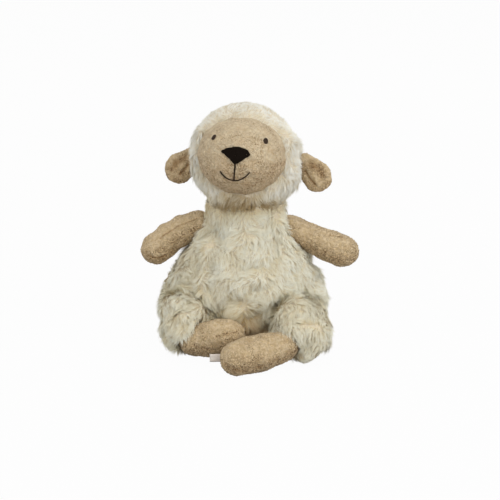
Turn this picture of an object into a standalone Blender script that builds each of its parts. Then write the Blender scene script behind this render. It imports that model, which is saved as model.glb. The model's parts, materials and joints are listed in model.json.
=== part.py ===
"""A seated plush sheep, sewn from fabric panels over stuffing, at its real size.

Metres, +Z up. The sheep faces -Y and sits on the flat seat at Z = 0, and its left side is at +X.
"""

import math
from dataclasses import dataclass

import bmesh
import bpy
import numpy as np
from mathutils import Matrix, Vector

# Fabric and fit
PILE_FABRIC = 0.0040  # long-pile fabric with its pile pressed
LOOP_FABRIC = 0.0024  # tan loop fabric
SEWN_GAP = 0.0003  # room between neighbouring pieces
CUT_REACH = 0.600  # overrun of every cutting block, longer than the toy
FLAT_DEPTH = 0.0005  # how deep a rounded form is cut flat where it rests

# Body
BODY_TOP = 0.1225
BODY_HALF_WIDTH = 0.0765
BELLY_REACH = 0.0580  # in front of the body's axis
BACK_REACH = 0.0450  # behind the body's axis
BASE_SEAM_HEIGHT = 0.0100
SIDE_SEAM_BACK = 0.0040  # the side seams lie this far behind the axis
# Height, half width, front reach and back reach, each as a share of its own size.
BODY_SHARES = (
    (0.000, 0.72, 0.50, 0.84),
    (0.025, 0.83, 0.58, 0.96),
    (0.080, 0.91, 0.63, 1.04),
    (0.160, 0.96, 0.68, 1.09),
    (0.260, 0.98, 0.76, 1.09),
    (0.370, 0.99, 0.89, 1.07),
    (0.480, 0.95, 0.96, 1.04),
    (0.580, 0.88, 0.94, 0.99),
    (0.680, 0.79, 0.86, 0.93),
    (0.780, 0.68, 0.74, 0.84),
    (0.890, 0.56, 0.62, 0.77),
    (1.000, 0.45, 0.53, 0.72),
)

# Head, in the head's own upright pose, then turned and tilted about the neck's centre
NECK_HEIGHT = 0.1360
NECK_RADIUS = 0.0355
HEAD_HEIGHT = 0.1715
HEAD_HALF_WIDTH = 0.0492
HEAD_HALF_DEPTH = 0.0490
HEAD_HALF_HEIGHT = 0.0488
# Height from the head's centre, half width and half depth, each as a share of its half size.
HEAD_SHARES = (
    (-0.98, 0.24, 0.20),
    (-0.89, 0.56, 0.46),
    (-0.72, 0.80, 0.70),
    (-0.50, 0.95, 0.87),
    (-0.26, 1.00, 0.97),
    (0.00, 1.01, 1.00),
    (0.24, 0.98, 0.97),
    (0.48, 0.85, 0.87),
    (0.70, 0.66, 0.71),
    (0.89, 0.41, 0.45),
    (0.98, 0.18, 0.20),
)
HOOD_SEAM_BACK = 0.0040
HEAD_TURN = math.radians(-4.0)
HEAD_TILT = math.radians(-9.0)
HEAD_ROLL = math.radians(1.0)

# Face
FACE_FORWARD = 0.0290
FACE_RISE = 0.0015
FACE_HALF_WIDTH = 0.0395
FACE_HALF_HEIGHT = 0.0340
FACE_HALF_DEPTH = 0.0390
FACE_EDGE_FORWARD = 0.0240  # the panel's sewn edge, in front of the head's centre
FACE_LEAN = math.radians(2.0)

# Embroidery on the face
STITCH_DEPTH = 0.0012
NOSE_HALF_WIDTH = 0.0122
NOSE_TOP_HALF_WIDTH = 0.0041
NOSE_BOTTOM_HALF_WIDTH = 0.0015
NOSE_TOP = 0.0107
NOSE_TIP_RISE = 0.0068
NOSE_BOTTOM = -0.0036
EYE_SPREAD = 0.0226
EYE_SHIFT = 0.0018  # toward the left side
EYE_RISE = 0.0152
EYE_HALF_WIDTH = 0.0024
EYE_HALF_HEIGHT = 0.0032
MOUTH_THREAD = 0.0006  # radius
MOUTH_START = -0.0046
MOUTH_DROP = -0.0188
SMILE_HALF_WIDTH = 0.0129
SMILE_RISE = 0.0078
THREAD_CLEARANCE = 0.0002
MERGE_DISTANCE = 0.00003

# Neck filling, a spindle on which the head turns and nods
SPINDLE_RADIUS = 0.0100
SPINDLE_BALL_RADIUS = 0.0160
SPINDLE_FOOT = 0.0800
SPINDLE_CLEARANCE = 0.0004
NECK_OPENING_RADIUS = 0.0200

# Ears, in the head's own pose
EAR_ROOT_OUT = 0.0015  # the root's middle stands this far out of the hood's side
EAR_ROOT_BACK = 0.0040
EAR_ROOT_HEIGHT = 0.1695
EAR_ROOT_RADIUS = 0.0062
EAR_LENGTH = 0.0315
EAR_HALF_WIDTH = 0.0135
EAR_HALF_THICKNESS = 0.0048
EAR_DROOP = math.radians(50.0)
EAR_FLOP = math.radians(40.0)
# Place along the ear, half width and half thickness, each as a share.
EAR_SHARES = (
    (0.00, 0.46, 1.00),
    (0.20, 0.74, 1.00),
    (0.46, 1.00, 0.98),
    (0.72, 0.96, 0.92),
    (0.90, 0.68, 0.72),
    (0.99, 0.26, 0.32),
)

# Arms
SHOULDER_SIDE = 0.0430
SHOULDER_HEIGHT = 0.1070
ARM_ROOT_RADIUS = 0.0136
ARM_SWELL = 0.0008
HAND_RADIUS = 0.0146
ARM_BEND_SIDE = 0.0660
ARM_BEND_FRONT = 0.0040
LEFT_HAND_SIDE = 0.0885
RIGHT_HAND_SIDE = 0.0805
HAND_FRONT = 0.0100
LEFT_ARM_BEND_HEIGHT = 0.0960
LEFT_HAND_HEIGHT = 0.0888
RIGHT_ARM_BEND_HEIGHT = 0.1025
RIGHT_HAND_HEIGHT = 0.0858
ARM_RAISE = math.radians(30.0)

# Legs
HIP_SIDE = 0.0480
HIP_FRONT = 0.0290
HIP_HEIGHT = 0.0270
HIP_RADIUS = 0.0255
LEG_END_RADIUS = 0.0272
LEG_END_HEIGHT = 0.0267
LEFT_LEG_END_SIDE = 0.0540
RIGHT_LEG_END_SIDE = 0.0490
LEG_LIFT = math.radians(20.0)

# How far the legs reach in front of the body's axis, and how far each point of them stays behind that
LEG_REACH = 0.0955
LEFT_LEG_END_BACK = 0.0445
RIGHT_LEG_END_BACK = 0.0505
LEFT_ANKLE_BACK = 0.0235
RIGHT_ANKLE_BACK = 0.0355
RIGHT_TOE_BACK = 0.0315

# Feet, whose roots start inside the legs' ends
FOOT_ROOT_RADIUS = 0.0135
FOOT_TOE_RADIUS = 0.0156
FOOT_SWELL = 0.0022
LEFT_ANKLE_SIDE = 0.0410
LEFT_ANKLE_HEIGHT = 0.0188
LEFT_TOE_SIDE = 0.0025
LEFT_TOE_HEIGHT = 0.0151
RIGHT_ANKLE_SIDE = 0.0400
RIGHT_ANKLE_HEIGHT = 0.0165
RIGHT_TOE_SIDE = 0.0090
RIGHT_TOE_HEIGHT = 0.0240
SOLE_SEAM_DROP = 0.0030  # the sole's seam lies this far under the foot's middle line

# Seat
PELLET_BAG_HALF_WIDTH = 0.0400
PELLET_BAG_HALF_DEPTH = 0.0260
PELLET_BAG_HEIGHT = 0.0220
PELLET_BAG_BACK = 0.0050

# Care label
LABEL_WIDTH = 0.0085
LABEL_HEIGHT = 0.0060
LABEL_THICKNESS = 0.0007

# Facets
BODY_SEGMENTS = 24
HEAD_SEGMENTS = 20
HEAD_BANDS = 10
LIMB_SEGMENTS = 12
EAR_SEGMENTS = 10
CAP_STEPS = 3
CORE_SEGMENTS = 10  # hollows and stuffing
CORE_BANDS = 8
CORE_CAP_STEPS = 2
SPINDLE_SEGMENTS = 14
THREAD_POINTS = 8

NECK = Vector((0.0, 0.0, NECK_HEIGHT))
HEAD_POSE = (
    Matrix.Translation(NECK)
    @ Matrix.Rotation(HEAD_TURN, 4, "Z")
    @ Matrix.Rotation(HEAD_TILT, 4, "X")
    @ Matrix.Rotation(HEAD_ROLL, 4, "Y")
    @ Matrix.Translation(-NECK)
)
HEAD_CENTRE = Vector((0.0, 0.0, HEAD_HEIGHT))
FACE_CENTRE = Vector((0.0, -FACE_FORWARD, HEAD_HEIGHT + FACE_RISE))
FACE_POSE = (
    HEAD_POSE
    @ Matrix.Translation(FACE_CENTRE)
    @ Matrix.Rotation(FACE_LEAN, 4, "Y")
    @ Matrix.Translation(-FACE_CENTRE)
)
SIDES = {"left": 1, "right": -1}


@dataclass(frozen=True)
class Finish:
    """A material's name, colour, roughness and metallic value."""

    name: str
    colour: tuple
    roughness: float
    metallic: float = 0.0


BODY_PILE = Finish("ivory_long_pile", (0.71, 0.66, 0.53, 1.0), 0.95)
HOOD_PILE = Finish("ivory_short_pile", (0.76, 0.73, 0.61, 1.0), 0.95)
LOOP = Finish("tan_loop_fabric", (0.50, 0.36, 0.21, 1.0), 0.92)
DARK_THREAD = Finish("near_black_thread", (0.016, 0.010, 0.009, 1.0), 0.55)
BROWN_THREAD = Finish("dark_brown_thread", (0.07, 0.035, 0.02, 1.0), 0.60)
WADDING = Finish("white_wadding", (0.85, 0.85, 0.82, 1.0), 1.0)
PELLETS = Finish("pellet_bag_cloth", (0.60, 0.58, 0.52, 1.0), 0.9)
LABEL_RIBBON = Finish("plain_label_ribbon", (0.80, 0.75, 0.70, 1.0), 0.6)


@dataclass(frozen=True)
class Limb:
    """A stuffed limb: a round root, a bend that its middle line is drawn towards, and a round end.

    Its shaft has this many steps from the root to the end.
    """

    root: Vector
    bend: Vector
    end: Vector
    root_radius: float
    end_radius: float
    swell: float = 0.0
    steps: int = 3

    def point(self, share):
        """The middle line's point at this share of its way."""
        return (
            self.root * (1 - share) ** 2
            + self.bend * 2 * share * (1 - share)
            + self.end * share**2
        )

    def tangent(self, share):
        """The middle line's direction at this share of its way."""
        way = (self.bend - self.root) * (1 - share) + (self.end - self.bend) * share
        return way.normalized()

    def radius(self, share):
        """The limb's radius at this share of its way, eased from root to end and swelling between."""
        eased = share * share * (3 - 2 * share)
        swelling = self.swell * math.sin(math.pi * share)
        return self.root_radius + (self.end_radius - self.root_radius) * eased + swelling


def arm(name):
    """The arm on the named side."""
    side = SIDES[name]
    bend_height = {"left": LEFT_ARM_BEND_HEIGHT, "right": RIGHT_ARM_BEND_HEIGHT}[name]
    hand_side = {"left": LEFT_HAND_SIDE, "right": RIGHT_HAND_SIDE}[name]
    hand_height = {"left": LEFT_HAND_HEIGHT, "right": RIGHT_HAND_HEIGHT}[name]
    return Limb(
        root=Vector((side * SHOULDER_SIDE, 0.0, SHOULDER_HEIGHT)),
        bend=Vector((side * ARM_BEND_SIDE, -ARM_BEND_FRONT, bend_height)),
        end=Vector((side * hand_side, -HAND_FRONT, hand_height)),
        root_radius=ARM_ROOT_RADIUS,
        end_radius=HAND_RADIUS,
        swell=ARM_SWELL,
    )


def leg(name):
    """The leg on the named side."""
    side = SIDES[name]
    end_side = {"left": LEFT_LEG_END_SIDE, "right": RIGHT_LEG_END_SIDE}[name]
    end_back = {"left": LEFT_LEG_END_BACK, "right": RIGHT_LEG_END_BACK}[name]
    root = Vector((side * HIP_SIDE, -HIP_FRONT, HIP_HEIGHT))
    end = Vector((side * end_side, end_back - LEG_REACH, LEG_END_HEIGHT))
    return Limb(root, (root + end) / 2, end, HIP_RADIUS, LEG_END_RADIUS, steps=1)


def foot(name):
    """The foot on the named side."""
    ankles = {
        "left": Vector((LEFT_ANKLE_SIDE, LEFT_ANKLE_BACK - LEG_REACH, LEFT_ANKLE_HEIGHT)),
        "right": Vector((-RIGHT_ANKLE_SIDE, RIGHT_ANKLE_BACK - LEG_REACH, RIGHT_ANKLE_HEIGHT)),
    }
    toes = {
        "left": Vector((LEFT_TOE_SIDE, -LEG_REACH, LEFT_TOE_HEIGHT)),
        "right": Vector((-RIGHT_TOE_SIDE, RIGHT_TOE_BACK - LEG_REACH, RIGHT_TOE_HEIGHT)),
    }
    root, end = ankles[name], toes[name]
    return Limb(root, (root + end) / 2, end, FOOT_ROOT_RADIUS, FOOT_TOE_RADIUS, FOOT_SWELL)


def limb_rings(limb, inset):
    """Rings along a limb that is thinner by the inset, each a centre and two half axes."""
    caps = CORE_CAP_STEPS if inset > 0 else CAP_STEPS
    rings = []
    first, last = limb.tangent(0.0), limb.tangent(1.0)
    for step in range(caps):
        angle = math.pi / 2 * (step + 0.5) / caps
        radius = limb.root_radius - inset
        centre = limb.root - first * radius * math.cos(angle)
        rings.append((centre, first, radius * math.sin(angle)))
    for step in range(limb.steps + 1):
        share = step / limb.steps
        rings.append((limb.point(share), limb.tangent(share), limb.radius(share) - inset))
    for step in reversed(range(caps)):
        angle = math.pi / 2 * (step + 0.5) / caps
        radius = limb.end_radius - inset
        centre = limb.end + last * radius * math.cos(angle)
        rings.append((centre, last, radius * math.sin(angle)))
    shaped = []
    for centre, along, radius in rings:
        side = along.cross(Vector((0.0, 0.0, 1.0))).normalized()
        shaped.append((centre, side * radius, side.cross(along).normalized() * radius))
    return shaped


def body_rings(inset):
    """Level rings up the body, drawn in by the inset."""
    bottom = -FLAT_DEPTH if inset == 0 else inset
    top = BODY_TOP - inset
    shares = BODY_SHARES[:-1:2] + BODY_SHARES[-1:] if inset else BODY_SHARES
    rings = []
    for height_share, width_share, front_share, back_share in shares:
        front = BELLY_REACH * front_share - inset
        back = BACK_REACH * back_share - inset
        centre = Vector((0.0, (back - front) / 2, bottom + (top - bottom) * height_share))
        across = Vector((BODY_HALF_WIDTH * width_share - inset, 0.0, 0.0))
        rings.append((centre, across, Vector((0.0, (front + back) / 2, 0.0))))
    return rings


def head_rings(inset):
    """Rings up the head in its pose, drawn in by the inset."""
    shares = HEAD_SHARES[::2] if inset else HEAD_SHARES
    turn = HEAD_POSE.to_3x3()
    height = HEAD_HALF_HEIGHT - inset
    rings = []
    for height_share, width_share, depth_share in shares:
        rise = Vector((0.0, 0.0, height * height_share))
        across = Vector((HEAD_HALF_WIDTH * width_share - inset, 0.0, 0.0))
        back = Vector((0.0, HEAD_HALF_DEPTH * depth_share - inset, 0.0))
        rings.append((HEAD_POSE @ (HEAD_CENTRE + rise), turn @ across, turn @ back))
    return rings


def ear_root(side):
    """The middle of an ear's root on the hood's side, in the head's own pose."""
    rise = (EAR_ROOT_HEIGHT - HEAD_HEIGHT) / HEAD_HALF_HEIGHT
    heights, widths, _ = zip(*HEAD_SHARES)
    half_width = HEAD_HALF_WIDTH * float(np.interp(rise, heights, widths))
    return Vector((side * (half_width + EAR_ROOT_OUT), EAR_ROOT_BACK, EAR_ROOT_HEIGHT))


def ear_rings(name, inset):
    """Flat rings out along the ear on the named side, in the world's frame."""
    side = SIDES[name]
    along = Vector((side * math.cos(EAR_DROOP), 0.0, -math.sin(EAR_DROOP)))
    across = Vector((side * math.sin(EAR_DROOP), 0.0, math.cos(EAR_DROOP)))
    root = ear_root(side)
    turn = HEAD_POSE.to_3x3()
    rings = []
    for step in range(CAP_STEPS):
        angle = math.pi / 2 * (step + 0.5) / CAP_STEPS
        centre = root - along * (EAR_ROOT_RADIUS - inset) * math.cos(angle)
        wide = EAR_HALF_WIDTH * EAR_SHARES[0][1] - inset
        thick = EAR_HALF_THICKNESS * EAR_SHARES[0][2] - inset
        rings.append((centre, across * wide * math.sin(angle), thick * math.sin(angle)))
    for place_share, width_share, thick_share in EAR_SHARES:
        centre = root + along * (EAR_LENGTH - inset) * place_share
        wide = EAR_HALF_WIDTH * width_share - inset
        rings.append((centre, across * wide, EAR_HALF_THICKNESS * thick_share - inset))
    through = Vector((0.0, 1.0, 0.0))
    return [
        (HEAD_POSE @ centre, turn @ wide, turn @ (through * thick))
        for centre, wide, thick in rings
    ]


def add_rings(bm, rings, segments):
    """Bridges the rings into one closed skin with small flat ends."""
    loops = []
    for centre, across, up in rings:
        normal = across.cross(up).normalized()
        matrix = Matrix((across, up, normal)).transposed().to_4x4()
        matrix.translation = centre
        made = bmesh.ops.create_circle(bm, segments=segments, radius=1, matrix=matrix)
        loops.append(list({edge for vert in made["verts"] for edge in vert.link_edges}))
    for below, above in zip(loops, loops[1:]):
        bmesh.ops.bridge_loops(bm, edges=below + above)
    bmesh.ops.contextual_create(bm, geom=loops[0])
    bmesh.ops.contextual_create(bm, geom=loops[-1])
    bmesh.ops.triangulate(bm, faces=bm.faces, quad_method="FIXED")


def add_ellipsoid(bm, centre, half_sizes, segments, bands, pose=None):
    """Adds an upright ellipsoid, in the head's pose where one is given."""
    size = Matrix.Diagonal(half_sizes).to_4x4()
    matrix = (pose or Matrix.Identity(4)) @ Matrix.Translation(centre) @ size
    bmesh.ops.create_uvsphere(
        bm, u_segments=segments, v_segments=bands, radius=1, matrix=matrix
    )


def finish_mesh(name, bm):
    """Makes an object from a bmesh, with its faces pointing out and shaded smooth."""
    bmesh.ops.recalc_face_normals(bm, faces=bm.faces)
    mesh = bpy.data.meshes.new(name)
    bm.to_mesh(mesh)
    bm.free()
    mesh.shade_smooth()
    made = bpy.data.objects.new(name, mesh)
    bpy.context.scene.collection.objects.link(made)
    return made


def ring_form(name, rings, segments):
    """A form through the given rings."""
    bm = bmesh.new()
    add_rings(bm, rings, segments)
    return finish_mesh(name, bm)


def ellipsoid_form(name, centre, half_sizes, pose=None, core=False):
    """An ellipsoid form, with the fewer facets of a core where it is one."""
    bm = bmesh.new()
    segments, bands = (CORE_SEGMENTS, CORE_BANDS) if core else (HEAD_SEGMENTS, HEAD_BANDS)
    add_ellipsoid(bm, centre, half_sizes, segments, bands, pose)
    return finish_mesh(name, bm)


def block(name, corner, toward):
    """A large block whose face passes through the corner point and which lies on the side pointed toward."""
    bm = bmesh.new()
    turn = toward.to_track_quat("Z", "Y").to_matrix().to_4x4()
    place = Matrix.Translation(corner + toward.normalized() * CUT_REACH / 2)
    bmesh.ops.create_cube(bm, size=CUT_REACH, matrix=place @ turn)
    return as_cutter(finish_mesh(name, bm))


def as_cutter(made):
    """Hides an object that only cuts others."""
    made.hide_render = True
    made.display_type = "WIRE"
    return made


def combine(made, other, operation):
    """Adds a Boolean of another object to this one."""
    modifier = made.modifiers.new(f"{operation.lower()}_{other.name}", "BOOLEAN")
    modifier.operation = operation
    modifier.solver = "EXACT"
    modifier.object = other


def cut(made, *cutters):
    """Cuts each of the cutters out of the object."""
    for cutter in cutters:
        combine(made, cutter, "DIFFERENCE")


def keep(made, *blocks):
    """Keeps what lies inside every one of the blocks."""
    for inside in blocks:
        combine(made, inside, "INTERSECT")


def dress(made, finish):
    """Gives the object a Principled material of its own."""
    material = bpy.data.materials.new(f"{made.name}_{finish.name}")
    material.use_nodes = True
    shader = material.node_tree.nodes["Principled BSDF"]
    shader.inputs["Base Color"].default_value = finish.colour
    shader.inputs["Roughness"].default_value = finish.roughness
    shader.inputs["Metallic"].default_value = finish.metallic
    material.diffuse_color = finish.colour
    made.data.materials.append(material)
    return made


def pivot_empty(name, place):
    """An empty on a joint's axis."""
    empty = bpy.data.objects.new(name, None)
    empty.location = place
    bpy.context.scene.collection.objects.link(empty)
    return empty


def hang_from(empty, *pieces):
    """Parents the pieces to the empty and leaves them where they are."""
    for piece in pieces:
        piece.parent = empty
        piece.matrix_parent_inverse = Matrix.Translation(empty.location).inverted()


def swept_clearance(name, rings, pivot, axis, angle, segments):
    """The space that a form needs on its way from rest through the angle, as one convex block."""
    bm = bmesh.new()
    for share in (0.0, 0.5, 1.0):
        turn = (
            Matrix.Translation(pivot)
            @ Matrix.Rotation(angle * share, 4, axis)
            @ Matrix.Translation(-pivot)
        )
        spin = turn.to_3x3()
        turned = [(turn @ centre, spin @ across, spin @ up) for centre, across, up in rings]
        add_rings(bm, turned, segments)
    hull = bmesh.ops.convex_hull(bm, input=bm.verts)
    spare = {item for item in hull["geom_interior"] + hull["geom_unused"] if item.is_valid}
    verts = [item for item in spare if isinstance(item, bmesh.types.BMVert)]
    outer = {item for item in hull["geom"] if isinstance(item, bmesh.types.BMFace)}
    bmesh.ops.delete(bm, geom=verts, context="VERTS")
    inner = [face for face in bm.faces if face not in outer]
    bmesh.ops.delete(bm, geom=inner, context="FACES")
    loose = [vert for vert in bm.verts if not vert.link_faces]
    bmesh.ops.delete(bm, geom=loose, context="VERTS")
    return as_cutter(finish_mesh(name, bm))


def limb_clearances(name):
    """The room that the arm, the leg and the foot on the named side need as they are raised and lifted."""
    raised, lifted, sewn_foot = arm(name), leg(name), foot(name)
    raising = Vector((0.0, -SIDES[name], 0.0))
    lifting = Vector((-1.0, 0.0, 0.0))
    swept = {
        "arm": (raised, raised.root, raising, ARM_RAISE),
        "leg": (lifted, lifted.root, lifting, LEG_LIFT),
        "foot": (sewn_foot, lifted.root, lifting, LEG_LIFT),
    }
    return [
        swept_clearance(
            f"{kind}_{name}_clearance",
            limb_rings(limb, -SEWN_GAP),
            pivot,
            axis,
            angle,
            LIMB_SEGMENTS,
        )
        for kind, (limb, pivot, axis, angle) in swept.items()
    ]


def neck_clearance():
    """The hollow in the body's top that the round base of the head turns in, clear of the facets' corners."""
    flats = math.cos(math.pi / HEAD_SEGMENTS) * math.cos(math.pi / 2 / HEAD_BANDS)
    radius = (NECK_RADIUS + SEWN_GAP) / flats
    made = ellipsoid_form("neck_clearance", NECK, (radius, radius, radius))
    return as_cutter(made)


def spindle_mesh(name, clearance):
    """The neck filling, turned: a straight shank with a ball at its top."""
    bm = bmesh.new()
    shank = SPINDLE_RADIUS + clearance
    ball = SPINDLE_BALL_RADIUS + clearance
    foot_height = SPINDLE_FOOT - clearance
    start = math.asin(shank / ball)
    points = [Vector((0.0, 0.0, foot_height)), Vector((shank, 0.0, foot_height))]
    for step in range(THREAD_POINTS + 1):
        angle = start + (math.pi - start) * step / THREAD_POINTS
        radius = ball * math.sin(angle)
        height = NECK_HEIGHT - ball * math.cos(angle)
        points.append(Vector((radius if step < THREAD_POINTS else 0.0, 0.0, height)))
    verts = [bm.verts.new(point) for point in points]
    edges = [bm.edges.new(pair) for pair in zip(verts, verts[1:])]
    bmesh.ops.spin(
        bm,
        geom=verts + edges,
        axis=(0.0, 0.0, 1.0),
        cent=(0.0, 0.0, 0.0),
        steps=SPINDLE_SEGMENTS,
        angle=math.tau,
        use_merge=True,
    )
    bmesh.ops.remove_doubles(bm, verts=bm.verts, dist=MERGE_DISTANCE)
    return finish_mesh(name, bm)


def build_body(clearances):
    """The three body panels, the stuffing, the pellet bag and the neck filling."""
    base_plane = Vector((0.0, 0.0, BASE_SEAM_HEIGHT))
    side_plane = Vector((0.0, SIDE_SEAM_BACK, 0.0))
    up, down = Vector((0.0, 0.0, 1.0)), Vector((0.0, 0.0, -1.0))
    forward, backward = Vector((0.0, -1.0, 0.0)), Vector((0.0, 1.0, 0.0))
    inner = as_cutter(ring_form("body_hollow", body_rings(PILE_FABRIC), CORE_SEGMENTS))
    above_floor = block("above_floor", Vector((0.0, 0.0, 0.0)), up)
    below_seam = block("below_base_seam", base_plane, down)
    above_seam = block("above_base_seam", base_plane + up * SEWN_GAP, up)
    in_front = block("front_of_side_seam", side_plane + forward * SEWN_GAP / 2, forward)
    behind = block("back_of_side_seam", side_plane + backward * SEWN_GAP / 2, backward)
    regions = {
        "body_front_panel": (above_seam, in_front),
        "body_back_panel": (above_seam, behind),
        "seat_base_panel": (above_floor, below_seam),
    }
    for name, blocks in regions.items():
        panel = ring_form(name, body_rings(0.0), BODY_SEGMENTS)
        cut(panel, inner)
        keep(panel, *blocks)
        cut(panel, *clearances)
        dress(panel, BODY_PILE)

    bag_shape = (PELLET_BAG_HALF_WIDTH, PELLET_BAG_HALF_DEPTH, PELLET_BAG_HEIGHT)
    floor = Vector((0.0, PELLET_BAG_BACK, PILE_FABRIC + SEWN_GAP))
    bag = ellipsoid_form("seat_pellet_bag", floor, bag_shape, core=True)
    keep(bag, block("above_bag_floor", floor, up))
    dress(bag, PELLETS)
    room_shape = tuple(size + SEWN_GAP for size in bag_shape)
    room = ellipsoid_form("pellet_bag_room", floor, room_shape, core=True)
    spindle_room = as_cutter(spindle_mesh("neck_filling_bore", SPINDLE_CLEARANCE))
    stuffing_rings = body_rings(PILE_FABRIC + SEWN_GAP)
    stuffing = ring_form("body_stuffing", stuffing_rings, CORE_SEGMENTS)
    cut(stuffing, *clearances, as_cutter(room), spindle_room)
    dress(stuffing, WADDING)
    dress(spindle_mesh("neck_filling", 0.0), WADDING)


def neck_base(name, inset, core=False):
    """The head's round base about the neck's centre, smaller by the inset."""
    radius = NECK_RADIUS - inset
    return as_cutter(ellipsoid_form(name, NECK, (radius, radius, radius), core=core))


def face_form(name, inset, core=False):
    """The face's bulge, smaller by the inset."""
    sizes = face_half_sizes(inset)
    return ellipsoid_form(name, FACE_CENTRE, sizes, FACE_POSE, core)


def face_half_sizes(inset):
    """The face's half sizes, smaller by the inset."""
    return (FACE_HALF_WIDTH - inset, FACE_HALF_DEPTH - inset, FACE_HALF_HEIGHT - inset)


def neck_opening_form():
    """The opening under the head that the neck filling passes through."""
    bm = bmesh.new()
    top = NECK_HEIGHT - SPINDLE_BALL_RADIUS / 2
    bmesh.ops.create_cone(
        bm,
        cap_ends=True,
        segments=SPINDLE_SEGMENTS,
        radius1=NECK_OPENING_RADIUS,
        radius2=NECK_OPENING_RADIUS,
        depth=NECK_RADIUS,
        matrix=Matrix.Translation(Vector((0.0, 0.0, top - NECK_RADIUS / 2))),
    )
    return as_cutter(finish_mesh("neck_opening", bm))


def build_head(ear_rooms, pivot):
    """The two hood panels, the face panel and the stuffing behind them."""
    turn = HEAD_POSE.to_3x3()
    forward, backward = turn @ Vector((0.0, -1.0, 0.0)), turn @ Vector((0.0, 1.0, 0.0))
    seam = HEAD_POSE @ (HEAD_CENTRE + Vector((0.0, HOOD_SEAM_BACK, 0.0)))
    edge = HEAD_POSE @ (HEAD_CENTRE - Vector((0.0, FACE_EDGE_FORWARD, 0.0)))
    hollow = as_cutter(ring_form("head_hollow", head_rings(PILE_FABRIC), CORE_SEGMENTS))
    base_hollow = neck_base("neck_hollow", PILE_FABRIC, core=True)
    face_room = as_cutter(face_form("face_room", -SEWN_GAP))
    neck_opening = neck_opening_form()
    outer_base = neck_base("neck_base", 0.0)
    regions = {
        "hood_front_panel": block("front_of_hood_seam", seam + forward * SEWN_GAP / 2, forward),
        "hood_back_panel": block("back_of_hood_seam", seam + backward * SEWN_GAP / 2, backward),
    }
    for name, region in regions.items():
        panel = ring_form(name, head_rings(0.0), HEAD_SEGMENTS)
        combine(panel, outer_base, "UNION")
        cut(panel, hollow, base_hollow, face_room, neck_opening, *ear_rooms)
        keep(panel, region)
        hang_from(pivot, dress(panel, HOOD_PILE))

    face = face_form("face_panel", 0.0)
    cut(face, as_cutter(face_form("face_hollow", LOOP_FABRIC, core=True)))
    keep(face, block("front_of_face_edge", edge, forward))
    hang_from(pivot, dress(face, LOOP))

    inset = PILE_FABRIC + SEWN_GAP
    stuffing = ring_form("head_stuffing", head_rings(inset), CORE_SEGMENTS)
    combine(stuffing, neck_base("neck_stuffing", inset, core=True), "UNION")
    face_front = face_form("face_front", -SEWN_GAP)
    keep(face_front, block("front_of_edge_room", edge + backward * SEWN_GAP, forward))
    cut(stuffing, as_cutter(face_front))
    muzzle = as_cutter(face_form("muzzle", LOOP_FABRIC + SEWN_GAP, core=True))
    combine(stuffing, muzzle, "UNION")
    spindle_room = as_cutter(spindle_mesh("neck_filling_socket", SPINDLE_CLEARANCE))
    cut(stuffing, *ear_rooms, neck_opening, spindle_room)
    hang_from(pivot, dress(stuffing, WADDING))


def on_face(across, rise, clearance):
    """The point of the face's surface at this place seen from the front, lifted by the clearance."""
    wide, deep, high = face_half_sizes(-clearance)
    depth = math.sqrt(max(0.0, 1 - (across / wide) ** 2 - (rise / high) ** 2))
    return FACE_POSE @ (FACE_CENTRE + Vector((across, -deep * depth, rise)))


def stitched_patch(name, outline, finish):
    """A patch of stitches on the face: the outline, seen from the front, laid on the surface."""
    bm = bmesh.new()
    near = [FACE_CENTRE + Vector((x, -CUT_REACH, z)) for x, z in outline]
    verts = [bm.verts.new(FACE_POSE @ point) for point in near]
    made = bmesh.ops.contextual_create(bm, geom=verts)
    back = FACE_POSE.to_3x3() @ Vector((0.0, CUT_REACH, 0.0))
    pushed = bmesh.ops.extrude_face_region(bm, geom=made["faces"])
    moved = [item for item in pushed["geom"] if isinstance(item, bmesh.types.BMVert)]
    bmesh.ops.translate(bm, verts=moved, vec=back)
    prism = as_cutter(finish_mesh(f"{name}_outline", bm))
    patch = face_form(name, -SEWN_GAP - STITCH_DEPTH)
    cut(patch, as_cutter(face_form(f"{name}_back", -SEWN_GAP)))
    keep(patch, prism)
    return dress(patch, finish)


def thread(name, places):
    """A thread laid on the face through the places seen from the front."""
    lift = MOUTH_THREAD + SEWN_GAP + THREAD_CLEARANCE
    curve = bpy.data.curves.new(name, "CURVE")
    curve.dimensions = "3D"
    curve.bevel_depth = MOUTH_THREAD
    curve.bevel_resolution = 1
    curve.use_fill_caps = True
    spline = curve.splines.new("POLY")
    spline.points.add(len(places[1:]))
    for point, (across, rise) in zip(spline.points, places):
        point.co = (*on_face(across, rise, lift), 1.0)
    made = bpy.data.objects.new(name, curve)
    bpy.context.scene.collection.objects.link(made)
    return dress(made, BROWN_THREAD)


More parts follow.
